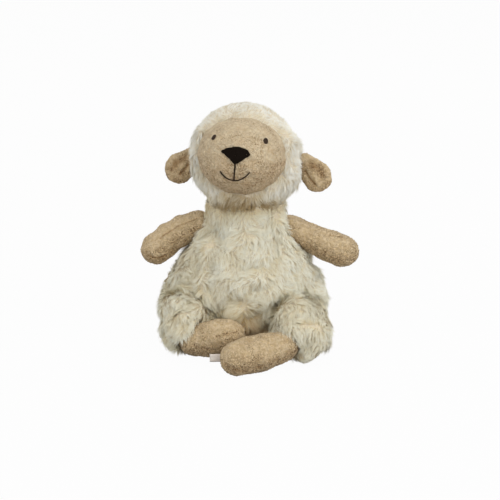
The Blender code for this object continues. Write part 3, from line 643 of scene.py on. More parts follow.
@dataclass
class PileCoat:
    """A coat of pile over a stuffed skin, drawn together in fine locks and wide tufts."""

    name: str
    skin: Piece
    body: str
    finish: PileFinish
    count: int
    length: float
    seed: int
    comb: SurfaceField
    reach: SurfaceField
    # Painted light and shade by place, added to each hair's tone.
    shade: Field
    stand: Field
    puffs: WaveField
    regions: dict[str, Field]
    width: float = 0.00040
    least_share: float = 0.08
    root_depth: float = 0.0006
    mean_tone: float = 0.70
    # Painted shade from the puffs: browner in the hollows between them, lighter on top.
    puff_tone: float = 0.05
    cloud_tone: float = 0.05
    cloud_length: float = 0.024
    lift_shares: Pair = (0.65, 1.3)
    tuft_shares: Pair = (0.85, 1.12)
    lock_shares: Pair = (0.82, 1.08)
    hair_shares: Pair = (0.66, 1.04)
    width_shares: Pair = (0.75, 1.2)
    bend_share: float = 0.42
    tuft: float = 0.0075
    lock: float = 0.0017
    lift: float = 0.18
    arch: float = 0.27
    gather: float = 0.30
    tuft_gather: float = 0.14
    swing: float = 0.45
    swirl: float = 0.575
    swirl_length: float = 0.030
    floor: float = 0.0006

    def ways(self, root: Array, normal: Array) -> Array:
        """The way that the pile lies at each root."""
        swirl = WaveField(self.swirl_length, self.seed + 1).at(root, 3) * SIDEWAYS
        return along_surface(unit(self.comb(root, normal)) + self.swirl * swirl, normal)

    def curves(self) -> Curves:
        """The hairs of the whole coat."""
        rng = np.random.default_rng(self.seed)
        root, normal = scatter(self.skin.data, self.count, rng)
        share = self.reach(root, normal)
        kept = share > self.least_share
        root, normal, share = root[kept], normal[kept], share[kept]
        way = self.ways(root, normal)
        area = mesh_area(self.skin.data) * kept.mean()
        chief = rng.choice(len(root), int(area / self.tuft**2), replace=False)
        lead = rng.choice(len(root), int(area / self.lock**2), replace=False)

        turned = rng.normal(0.0, self.swing, len(chief))[:, None]
        lean = way[chief] * np.cos(turned) + np.cross(normal[chief], way[chief]) * np.sin(turned)
        upright = self.stand(root)
        rise = self.lift * rng.uniform(*self.lift_shares, len(chief))
        full = rng.uniform(*self.tuft_shares, len(chief))
        far = self.length * share[chief] * full
        peak = root[chief] + self.aim(lean, normal[chief], rise + upright[chief]) * far[:, None]

        tuft = nearest_of(root[chief], root[lead] + rng.normal(0.0, 0.14 * self.tuft, (len(lead), 3)))
        lock_way = along_surface(
            0.45 * way[lead] + lean[tuft] + rng.normal(0.0, 0.32, (len(lead), 3)) * SIDEWAYS, normal[lead]
        )
        lock_rise = rise[tuft] + upright[lead] + rng.normal(0.0, 0.15, len(lead))
        far = self.length * share[lead] * full[tuft] * rng.uniform(*self.lock_shares, len(lead))
        point = root[lead] + self.aim(lock_way, normal[lead], lock_rise) * far[:, None]
        point += (peak[tuft] - point) * (self.tuft_gather * rng.uniform(0.5, 1.2, len(lead)))[:, None]

        lock = nearest_of(root[lead], root + rng.normal(0.0, 0.12 * self.lock, root.shape))
        apart = (1 - self.gather * rng.uniform(0.6, 1.15, len(root)))[:, None]
        tip = point[lock] + (root - root[lead][lock]) * apart
        tip = root + (tip - root) * rng.uniform(*self.hair_shares, (len(root), 1))
        length = np.linalg.norm(tip - root, axis=1)
        side = side_of(root, tip, normal, rng.normal(0.0, 0.24, len(root)))
        bend = root + (tip - root) * self.bend_share + normal * (length * self.arch)[:, None]
        bend += side * (rng.normal(0.0, 0.15, len(root)) * length)[:, None]
        for places in (bend, tip):
            places[:, 2] = np.maximum(places[:, 2], self.floor + rng.uniform(0, 0.0008, len(root)))
        # The tone takes painted light and shade by place and from the puffs; the cloud and chance are random
        # tone.
        cloudy = WaveField(self.cloud_length, self.seed + 2).at(root) * self.cloud_tone
        tone = self.mean_tone + self.shade(root) + cloudy + self.puff_tone * self.puffs.at(root)
        tone += rng.normal(0.0, 0.03, len(chief))[tuft][lock]
        tone += rng.normal(0.0, 0.03, len(lead))[lock] + rng.normal(0.0, 0.05, len(root))
        width = self.width * rng.uniform(*self.width_shares, len(root))
        return Curves(root - normal * self.root_depth, bend, tip, width, side, tone, normal)

    @staticmethod
    def aim(way: Array, normal: Array, rise: Array) -> Array:
        """The direction that rises out of the surface by the given angles."""
        return way * np.cos(rise)[:, None] + normal * np.sin(rise)[:, None]

    def grow(self) -> None:
        """Makes the coat, in one piece to each region."""
        curves = self.curves()
        left = np.ones(len(curves.root), bool)
        for region, inside in self.regions.items():
            mine = left & inside(curves.root)
            left &= ~mine
            made = Strip().lay(f"{self.name}_{region}", curves.chosen(mine))
            self.finish.put_on(made)
            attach(made, self.body)
            LOG.info("%s has %d hairs", made.name, mine.sum())


def photo_points(tree: BVHTree, pixels: Pixels, lift: float = 0.0) -> list[Vector]:
    """Where the photograph's pixels meet a surface.

    Args:
        tree: The surface.
        pixels: Places in the photograph.
        lift: How far the points stand off the surface.

    Returns:
        One point to each pixel that meets it.
    """
    found = []
    for across, down in pixels:
        place, normal, _, _ = tree.ray_cast(CAMERA.place(), CAMERA.ray(across, down))
        if place is not None:
            found.append(place + normal * lift)
    return found


@dataclass(frozen=True)
class Groove:
    """A seam or crease that draws a form's surface in, along a line of the photograph's pixels."""

    pixels: Pixels
    depth: float = 0.0006
    width: float = 0.0012
    # How much painted shade the groove gets down in it.
    darkness: float = 0.35

    def pull(self, tree: BVHTree, places: Array) -> Array:
        """How strongly the groove on the surface draws in each place, from 0 to 1."""
        nearest = np.full(len(places), np.inf)
        ends = [np.array(point) for point in photo_points(tree, self.pixels)]
        for start, end in zip(ends, ends[1:]):
            way = end - start
            share = np.clip((places - start) @ way / (way @ way), 0.0, 1.0)
            gap = np.linalg.norm(places - start - share[:, None] * way, axis=1)
            nearest = np.minimum(nearest, gap)
        return np.exp(-((nearest / self.width) ** 2))


@dataclass(frozen=True)
class Swell:
    """A round place where a skin stands out, or draws in, along its normals."""

    centre: tuple[float, float, float]
    radius: float
    push: float

    def lift(self, places: Array) -> Array:
        """How far each place moves out."""
        return self.push * np.exp(-((np.linalg.norm(places - self.centre, axis=1) / self.radius) ** 2))


@dataclass
class StuffedForm:
    """A stuffed piece's skin, swollen by its filling from the solids that it covers."""

    name: str
    nodes: tuple[str, ...]
    body: str
    voxel: float
    finish: Finish
    inset: float = 0.0
    smoothing: int = 12
    easing: float = 0.5
    swelling: float = 0.0012
    pressure: float = 4.0
    frames: int = 20
    levels: int = 0
    fill: float = 0.85
    puffs: WaveField | None = None
    puff_depth: float = 0.0013
    swells: tuple[Swell, ...] = ()
    rest: float = 0.0002
    weld: float = 1e-6
    shape: Callable[[Piece], None] | None = None

    def skin(self) -> Piece:
        """The smooth closed skin, with its cloth blown up by the filling."""
        bm = node_meshes(*self.nodes)
        bmesh.ops.remove_doubles(bm, verts=bm.verts, dist=self.weld)
        made = piece_of(self.name, bm)
        remesh = made.modifiers.new("skin", "REMESH")
        remesh.mode, remesh.voxel_size = "VOXEL", self.voxel
        smooth = made.modifiers.new("ease", "SMOOTH")
        smooth.factor, smooth.iterations = self.easing, self.smoothing
        settle(made)
        self.inflate(made)
        places, normals = surface(made.data)
        proud = self.puff_depth * self.puffs.at(places) if self.puffs else np.zeros(len(places))
        for swell in self.swells:
            proud = proud + swell.lift(places)
        places = places + normals * (proud - self.inset)[:, None]
        places[:, 2] = np.maximum(places[:, 2], self.rest)
        move_points(made.data, places)
        if self.levels:
            finer = made.modifiers.new("finer", "SUBSURF")
            finer.levels = finer.render_levels = self.levels
            settle(made)
        made.data.shade_smooth()
        return made

    def inflate(self, made: Piece) -> None:
        """Runs the skin as cloth under pressure, and lets no point go far."""
        start, _ = surface(made.data)
        cloth = made.modifiers.new("filling", "CLOTH")
        cloth.settings.use_pressure = True
        cloth.settings.uniform_pressure_force = self.pressure
        cloth.settings.effector_weights.gravity = 0.0
        cloth.point_cache.frame_end = self.frames
        for frame_number in range(1, self.frames + 1):
            bpy.context.scene.frame_set(frame_number)
        settle(made)
        bpy.context.scene.frame_set(1)
        moved = surface(made.data)[0] - start
        gone = np.linalg.norm(moved, axis=1, keepdims=True)
        moved *= np.minimum(1.0, self.swelling / np.maximum(gone, 1e-9))
        move_points(made.data, start + moved)

    def refine(self, made: Piece) -> None:
        """Shapes the smooth skin further, where the piece has a way to."""
        if self.shape:
            self.shape(made)

    def build(self) -> Piece:
        """Makes the piece, which stands for its nodes and rides on its body."""
        made = self.skin()
        self.refine(made)
        self.finish.put_on(made)
        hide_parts(*self.nodes)
        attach(made, self.body)
        LOG.info("%s has %d faces", made.name, len(made.data.polygons))
        return made


@dataclass
class LoopedForm(StuffedForm):
    """A stuffed piece in loop fabric, with its seams and creases, and small standing loops."""

    finish: Finish = LOOPS
    grooves: tuple[Groove, ...] = ()
    unevenness: float = 0.00025
    uneven_length: float = 0.013
    loop_relief: float = 0.00012
    loop_length: float = 0.0026
    # How strongly the lines of painted shade between the loops show on top, underneath, in patches and at the
    # grooves.
    top_marks: float = 0.35
    low_marks: float = 1.15
    patch_marks: float = 0.25
    patch_length: float = 0.020
    groove_marks: float = 0.5
    mean_shade: float = 0.76
    cloud_shade: float = 0.05
    cloud_length: float = 0.009
    # How much painted shade darkens the cloth and its loops where they face down.
    underside: float = 0.17
    density: float = 0.30
    loop_spans: Pair = (0.0006, 0.0014)
    loop_rises: Pair = (0.0005, 0.0012)
    loop_widths: Pair = (0.00025, 0.00045)
    loop_sink: float = 0.0002
    loop_tone: float = 0.70
    seed: int = 11

    def low(self, normals: Array) -> Array:
        """How far the cloth faces down, from 0 to 1."""
        return 1 - eased(normals[:, 2], -0.45, 0.65)

    def pulls(self, places: Array) -> list[tuple[Groove, Array]]:
        """Each groove, with how strongly it draws in each place."""
        bm = node_meshes(*self.nodes)
        tree = BVHTree.FromBMesh(bm)
        bm.free()
        return [(groove, groove.pull(tree, places)) for groove in self.grooves]

    def refine(self, made: Piece) -> None:
        """Makes the cloth uneven, draws the seams and creases in, paints shade where it faces down and in the
        grooves, and tells where the loops part most.
        """
        places, normals = surface(made.data)
        low = self.low(normals)
        lifted = WaveField(self.uneven_length, self.seed + 5).at(places) * self.unevenness
        lifted += WaveField(self.loop_length, self.seed + 4).at(places) * self.loop_relief
        marks = self.top_marks + (self.low_marks - self.top_marks) * low
        marks += self.patch_marks * WaveField(self.patch_length, self.seed + 6).at(places)
        # Painted shade, darker where the cloth faces down and in the grooves below; the cloud is random tone.
        shade = self.mean_shade + self.cloud_shade * WaveField(self.cloud_length, self.seed + 8).at(places)
        shade -= self.underside * low
        for groove, pull in self.pulls(places):
            lifted -= groove.depth * pull
            shade -= groove.darkness * pull**2
            marks += self.groove_marks * pull
        move_points(made.data, places + normals * lifted[:, None])
        for name, values in ((SHADE, shade), (MARKS, marks)):
            store(made.data, name, np.clip(values, 0.0, 1.2))

    def raise_loops(self, made: Piece) -> None:
        """Sews small standing loops all over the piece, as one object that rides with it."""
        rng = np.random.default_rng(self.seed + 7)
        count = int(mesh_area(made.data) * 1e6 * self.density)
        root, normal = scatter(made.data, count, rng)
        way = along_surface(rng.normal(size=(count, 3)), normal)
        span = rng.uniform(*self.loop_spans, count)[:, None]
        rise = rng.uniform(*self.loop_rises, count)[:, None]
        tip = root + way * span
        bend = (root + tip) / 2 + normal * rise
        # Painted shade: the loops are darker where they face down and in the grooves.
        tone = self.loop_tone - self.underside * self.low(normal) + rng.normal(0.0, 0.10, count)
        for groove, pull in self.pulls(root):
            tone -= groove.darkness * pull
        side = side_of(root, tip, normal, rng.normal(0.0, 0.5, count))
        width = rng.uniform(*self.loop_widths, count)
        sunk = normal * self.loop_sink
        curves = Curves(root - sunk, bend, tip - sunk, width, side, tone, normal)
        loops = Strip(tip_share=0.7, softness=0.3).lay(f"{self.name}_loops", curves)
        self.finish.put_on(loops)
        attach(loops, self.body)

    def build(self) -> Piece:
        """Makes the piece and its loops."""
        made = super().build()
        if self.density:
            self.raise_loops(made)
        return made


def inside_test(*nodes: str) -> Field:
    """Tells how deep points lie in the convex forms of the named nodes.

    Args:
        nodes: The nodes' names.

    Returns:
        A function from points to depths, which are positive inside a form.
    """
    forms = []
    for node in nodes:
        bm = node_meshes(node)
        hull = bmesh.ops.convex_hull(bm, input=bm.verts)
        middle = sum((vert.co for vert in bm.verts), Vector()) / len(bm.verts)
        normals, offsets = [], []
        for face in hull["geom"]:
            if isinstance(face, bmesh.types.BMFace):
                normal = face.normal if face.normal.dot(face.verts[0].co - middle) > 0 else -face.normal
                normals.append(tuple(normal))
                offsets.append(normal.dot(face.verts[0].co))
        forms.append((np.array(normals), np.array(offsets)))
        bm.free()

    def depth(places: Array) -> Array:
        """The greatest depth of each place in any of the forms."""
        return np.max([-(places @ normals.T - offsets).max(1) for normals, offsets in forms], axis=0)

    return depth


@dataclass
class Embroidery:
    """The nose, the eyes and the mouth, stitched through the face."""

    face: Piece
    nose_top: Pixels = (
        (221.6, 151.6), (224.2, 149.6), (228.0, 148.0), (234.0, 147.0), (240.0, 147.4), (245.0, 149.2),
        (248.4, 151.4), (250.4, 154.8),
    )
    nose_bottom: Pixels = (
        (221.6, 151.9), (226.0, 155.6), (230.0, 158.9), (233.6, 162.8), (235.0, 164.2), (237.0, 163.4),
        (242.0, 160.2), (247.0, 157.4), (250.4, 155.0),
    )
    nose_margins: Pair = (0.3, 0.2)
    nose_lift: float = 0.0011
    nose_radius: float = 0.00042
    satin_step: float = 0.55
    mouth_top: Pair = (235.0, 163.6)
    mouth_foot: Pair = (234.0, 179.6)
    smile: Pixels = (
        (220.4, 171.0), (222.6, 174.2), (225.8, 177.2), (229.6, 179.2), (233.8, 180.3), (238.0, 180.2),
        (242.4, 178.6), (246.4, 175.8), (249.6, 172.2),
    )
    line_lift: float = 0.0006
    centre_radius: float = 0.00062
    smile_radius: float = 0.00055
    eyes: tuple[tuple[Side, Pair, float, float, float], ...] = (
        (Side.RIGHT, (214.2, 137.5), 1.3, 2.9, 38.0), (Side.LEFT, (265.6, 141.2), 2.0, 3.0, -8.0),
    )
    eye_lift: float = 0.0005
    eye_radius: float = 0.00034
    eye_threads: int = 9

    def build(self) -> None:
        """Stitches every feature."""
        nose = (self.nose_top, self.nose_bottom)
        across, columns = self.nose_top[0][0] + self.nose_margins[0], []
        while across < self.nose_top[-1][0] - self.nose_margins[1]:
            ends = ((across, float(np.interp(across, *zip(*line)))) for line in nose)
            columns.append(self.stitch(*ends))
            across += self.satin_step
        self.sew("nose_stitches", "nose_embroidery", columns, self.nose_lift, self.nose_radius, NOSE_THREAD)
        centre = self.stitch(self.mouth_top, self.mouth_foot), self.centre_radius
        for word, (line, radius) in (("centre", centre), ("smile", (self.smile, self.smile_radius))):
            names = f"mouth_{word}_line", f"mouth_{word}_stitch"
            self.sew(*names, [line], self.line_lift, radius, LINE_THREAD)
        for eye in self.eyes:
            self.eye(*eye)

    @staticmethod
    def stitch(first: Pair, last: Pair, count: int = 9) -> Pixels:
        """Evenly spaced pixels from the first to the last."""
        return tuple((float(across), float(down)) for across, down in np.linspace(first, last, count))

    def sew(
        self, name: str, node: str, lines: list[Pixels], lift: float, radius: float, finish: Finish
    ) -> None:
        """Sews threads along lines on the face, as one piece.

        Args:
            name: The piece's name.
            node: The node that it stands for.
            lines: Each thread's line in the photograph.
            lift: How far the threads' middles stand off the face.
            radius: The threads' radius.
            finish: Their finish.
        """
        tree = BVHTree.FromObject(self.face, bpy.context.evaluated_depsgraph_get())
        curve = bpy.data.curves.new(name, "CURVE")
        curve.dimensions = "3D"
        curve.bevel_depth, curve.bevel_resolution = radius, 2
        curve.use_fill_caps = True
        for line in lines:
            path = photo_points(tree, line, lift)
            spline = curve.splines.new("POLY")
            spline.points.add(len(path) - 1)
            for point, place in zip(spline.points, path):
                point.co = (*place, 1.0)
        holder = link(f"{name}_path", curve)
        made = link(name, evaluated_mesh(holder))
        bpy.data.objects.remove(holder)
        made.data.shade_smooth()
        finish.put_on(made)
        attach(made, "head")
        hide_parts(node)

    def eye(self, side: Side, centre: Pair, wide: float, high: float, lean: float) -> None:
        """Stitches one eye as an oval of short threads.

        Args:
            side: The sheep's own side.
            centre: The eye's middle, in the photograph.
            wide: Half its width, in pixels.
            high: Half its height, in pixels.
            lean: How far its top leans to the right, in degrees.
        """
        turn, lines = math.radians(lean), []
        for step in range(self.eye_threads):
            share = (2 * step - self.eye_threads + 1) / self.eye_threads
            reach = high * math.sqrt(1 - share * share)
            ends = (
                (
                    centre[0] + share * wide * math.cos(turn) - end * math.sin(turn),
                    centre[1] + share * wide * math.sin(turn) + end * math.cos(turn),
                )
                for end in (-reach, reach)
            )
            lines.append(self.stitch(*ends, 7))
        name = f"eye_{side.value}"
        self.sew(f"{name}_stitches", f"{name}_embroidery", lines, self.eye_lift, self.eye_radius, EYE_THREAD)


@dataclass
class Head:
    """The hood and its pile, the face, its stitches, and the ears."""

    hood_hairs: int = 66000
    hood_length: float = 0.0085
    hood_voxel: float = 0.0028
    hood_inset: float = 0.0022
    hood_puff_depth: float = 0.0006
    hood_seed: int = 31
    roll: float = 0.0026
    front_edge: float = 0.004
    hood_swells: tuple[Swell, ...] = (
        Swell((-0.032, 0.000, 0.207), 0.024, 0.0042), Swell((0.027, 0.000, 0.212), 0.016, -0.0020),
        Swell((-0.052, 0.000, 0.188), 0.011, 0.0025), Swell((0.054, 0.000, 0.187), 0.011, 0.0025),
        Swell((-0.050, -0.005, 0.154), 0.010, 0.0030), Swell((0.049, -0.005, 0.149), 0.012, 0.0030),
    )
    face_voxel: float = 0.0017
    face_seed: int = 21
    ear_voxel: float = 0.0012
    ear_inset: float = -0.0008
    ear_seed: int = 41
    ear_lines: dict[Side, tuple[Pixels, Pixels]] = field(
        default_factory=lambda: {
            Side.RIGHT: (
                ((184.0, 158.0), (176.0, 163.0), (172.0, 168.0)),
                ((188.0, 165.0), (184.0, 170.0), (180.0, 174.5)),
            ),
            Side.LEFT: (
                ((310.0, 164.0), (317.0, 168.0), (322.0, 174.0)),
                ((305.0, 171.0), (310.0, 179.0), (315.0, 184.5)),
            ),
        }
    )

    def build(self) -> None:
        """Makes the head's pieces."""
        hood = StuffedForm(
            "hood_skin", ("hood_front_panel", "hood_back_panel", "head_stuffing"), "head", self.hood_voxel,
            HOOD_GROUND, self.hood_inset, puffs=HOOD_PUFFS, puff_depth=self.hood_puff_depth,
            swells=self.hood_swells, shape=self.roll_edge,
        ).build()
        face = LoopedForm(
            "face", ("face_panel",), "head", self.face_voxel, FACE_LOOPS, smoothing=6, levels=1,
            top_marks=0.40, underside=0.15, density=0.0, seed=self.face_seed,
        ).build()
        Embroidery(face).build()
        self.pile(hood)
        for side in Side:
            self.ear(side)

    def roll_edge(self, skin: Piece) -> None:
        """Raises the hood in a soft roll round the face."""
        places, normals = surface(skin.data)
        depth = inside_test("face_panel")(places)
        share = eased(depth, -0.018, -0.007) * (1 - eased(depth, -0.0025, 0.002))
        move_points(skin.data, places + normals * (self.roll * share)[:, None])

    def pile(self, skin: Piece) -> None:
        """The hood's pile, which lies over the face's edge and hangs at the back."""
        in_face = inside_test("face_panel")

        def above(root: Array) -> Array:
            """How high each root is over the neck's crease."""
            return root[:, 2] - Torso().collar_top(root)

        def comb(root: Array, normal: Array) -> Array:
            """Back over the crown, down at the sides, a little out, and down over the neck's crease."""
            crown = eased(root[:, 2], 0.186, 0.206)[:, None]
            low = (1 - eased(above(root), 0.004, 0.016))[:, None]
            ways = np.array((0.0, 0.30, -1.0)) + np.array((0.0, 0.90, 0.90)) * crown
            return ways * (1 - low) + (DOWN + 3 * root * (1.0, 1.0, 0.0)) * low

        def stand(root: Array) -> Array:
            """A little more upright just over the neck's crease."""
            return (0.42 + 0.40 * eased(root[:, 1], 0.000, 0.020)) * (1 - eased(above(root), 0.002, 0.010))

        def reach(root: Array, normal: Array) -> Array:
            """Short on the crown and below the crease, and none under the face or in the neck."""
            probe = root + normal * 0.0015
            share = 1.0 - 0.40 * eased(root[:, 2], 0.185, 0.212)
            share *= 1 - eased(in_face(probe), -0.0005, 0.0015)
            share *= 0.35 + 0.65 * eased(above(root), -0.004, 0.003)
            share *= 1 + 0.20 * eased(above(root), 0.000, 0.003) * (1 - eased(above(root), 0.008, 0.014))
            share *= 1 + 0.25 * eased(in_face(root), -0.012, -0.005)
            return share * eased(above(root), -0.022, -0.016)

        def shade(root: Array) -> Array:
            """Painted shade, browner at the face's edge under the hood's roll and below the chin."""
            near = eased(in_face(root), -0.0045, 0.001) * 0.30
            front = eased(-root[:, 1], -0.010, 0.020)
            inner = 0.60 + 0.95 * np.exp(-((root[:, 0] / 0.026) ** 2))
            return 0.22 - near - inner * front * (1 - eased(above(root), 0.000, 0.017))

        PileCoat(
            "hood_pile", skin, "head", HOOD_PILE, self.hood_hairs, self.hood_length, self.hood_seed,
            comb, reach, shade, stand, HOOD_PUFFS,
            {"front": lambda root: root[:, 1] < self.front_edge, "back": everywhere},
            puff_tone=0.03, tuft=0.0070, lift=0.16, arch=0.23, swing=0.40, swirl=0.35,
        ).grow()

    def ear(self, side: Side) -> None:
        """One ear, folded along its middle at the root."""
        name = f"ear_{side.value}"
        hollow, crease = self.ear_lines[side]
        LoopedForm(
            name, (f"{name}_front_piece", f"{name}_back_piece"), name, self.ear_voxel, inset=self.ear_inset,
            smoothing=8, levels=1, seed=self.ear_seed + side.sign,
            grooves=(Groove(hollow, 0.0024, 0.0046), Groove(crease, 0.0026, 0.0014, 0.8)),
        ).build()


@dataclass
class Arms:
    """The two arms, in loop fabric."""

    voxel: float = 0.0016
    seed: int = 51
    swells: dict[Side, tuple[Swell, ...]] = field(
        default_factory=lambda: {
            Side.RIGHT: (
                Swell((-0.079, -0.006, 0.110), 0.012, -0.0014),
                Swell((-0.060, -0.003, 0.118), 0.010, -0.0010),
            ),
            Side.LEFT: (
                Swell((0.051, -0.002, 0.119), 0.012, -0.0034), Swell((0.066, -0.005, 0.112), 0.013, -0.0034),
            ),
        }
    )
    seams: dict[Side, tuple[Groove, ...]] = field(
        default_factory=lambda: {
            Side.RIGHT: (
                Groove(((204.0, 216.0), (190.0, 221.0), (176.0, 227.0), (160.0, 238.0))),
                Groove(((149.0, 256.0), (156.0, 258.0), (165.0, 256.0))),
            ),
            Side.LEFT: (
                Groove(((292.0, 226.0), (300.0, 228.0), (312.0, 231.0), (326.0, 234.0), (342.0, 237.0))),
            ),
        }
    )

    def build(self) -> None:
        """Makes both arms."""
        for side in Side:
            name = f"arm_{side.value}"
            nodes = tuple(f"{name}_{part}" for part in ("front_piece", "back_piece", "stuffing"))
            LoopedForm(
                name, nodes, name, self.voxel, levels=2, grooves=self.seams[side], seed=self.seed + side.sign,
                swells=self.swells[side],
            ).build()


@dataclass
class Legs:
    """The two legs in pile, and the feet in loop fabric."""

    hairs: int = 28000
    length: float = 0.0090
    leg_voxel: float = 0.0028
    inset: float = 0.0028
    seed: int = 71
    swells: dict[Side, tuple[Swell, ...]] = field(
        default_factory=lambda: {
            Side.RIGHT: (
                Swell((-0.076, -0.055, 0.026), 0.014, -0.0030), Swell((-0.074, -0.010, 0.030), 0.013, 0.0030),
                Swell((-0.060, -0.045, 0.052), 0.015, 0.0048),
            ),
            Side.LEFT: (
                Swell((0.081, -0.050, 0.025), 0.020, 0.0030), Swell((0.066, -0.074, 0.006), 0.014, 0.0040),
                Swell((0.042, -0.054, 0.052), 0.015, 0.0050), Swell((0.063, -0.034, 0.047), 0.014, 0.0050),
            ),
        }
    )
    foot_voxel: float = 0.0016
    foot_seed: int = 61
    seam_width: float = 0.0020
    # Painted shade in the feet's seam grooves.
    seam_darkness: float = 0.15
    seam_lines: dict[Side, tuple[Pixels, ...]] = field(
        default_factory=lambda: {
            Side.RIGHT: (
                ((216.0, 337.0), (222.0, 335.5), (230.0, 333.0), (238.0, 332.0)),
                ((193.0, 346.0), (202.0, 349.0), (212.0, 350.0)),
            ),
            Side.LEFT: (((224.0, 364.0), (236.0, 370.0), (248.0, 371.0), (262.0, 366.0)),),
        }
    )

    def build(self) -> None:
        """Makes both legs and both feet."""
        for side in Side:
            body, foot = f"leg_{side.value}", f"foot_{side.value}"
            seams = tuple(
                Groove(line, width=self.seam_width, darkness=self.seam_darkness)
                for line in self.seam_lines[side]
            )
            LoopedForm(
                foot, tuple(f"{foot}_{part}" for part in ("upper", "sole", "stuffing")), body,
                self.foot_voxel, levels=2, grooves=seams, seed=self.foot_seed + side.sign,
            ).build()
            skin = StuffedForm(
                f"{body}_skin", (f"{body}_cover", f"{body}_stuffing"), body, self.leg_voxel, PILE_GROUND,
                self.inset, puffs=BODY_PUFFS, swells=self.swells[side],
            ).build()
            self.pile(side, skin)

    def pile(self, side: Side, skin: Piece) -> None:
        """One leg's long pile."""
        in_foot = inside_test(f"foot_{side.value}_upper", f"foot_{side.value}_sole")
        in_body = inside_test("body_front_panel")

        def by_body(root: Array) -> Array:
            """How close each root is to the body, high on the leg, from 0 to 1."""
            return eased(in_body(root), -0.008, 0.000) * eased(root[:, 2], 0.030, 0.042)

        def stand(root: Array) -> Array:
            """More upright in the crease under the belly."""
            return 0.35 * by_body(root)

        def comb(root: Array, normal: Array) -> Array:
            """Down, and a little out to the side and to the front."""
            return np.broadcast_to(np.array((0.30 * side.sign, -0.30, -1.0)), root.shape)

        def reach(root: Array, normal: Array) -> Array:
            """None where the foot comes out but long round it, and short on the floor."""
            probe = root + normal * 0.002
            share = 1 - eased(in_foot(probe), 0.000, 0.003)
            share *= 1 + 0.35 * eased(in_foot(probe), -0.012, -0.003)
            share *= 1 + 0.5 * by_body(root)
            return share * (0.35 + 0.65 * eased(root[:, 2], 0.004, 0.012))

        def shade(root: Array) -> Array:
            """Painted shade, browner low down by the floor and toward the middle between the legs."""
            inner = eased(-side.sign * root[:, 0], -0.035, -0.022)
            return 0.08 - 0.06 * (1 - eased(root[:, 2], 0.004, 0.020)) - 0.22 * inner

        PileCoat(
            f"leg_{side.value}_pile", skin, f"leg_{side.value}", BODY_PILE, self.hairs, self.length,
            self.seed + side.sign, comb, reach, shade, stand, BODY_PUFFS, {"coat": everywhere},
        ).grow()


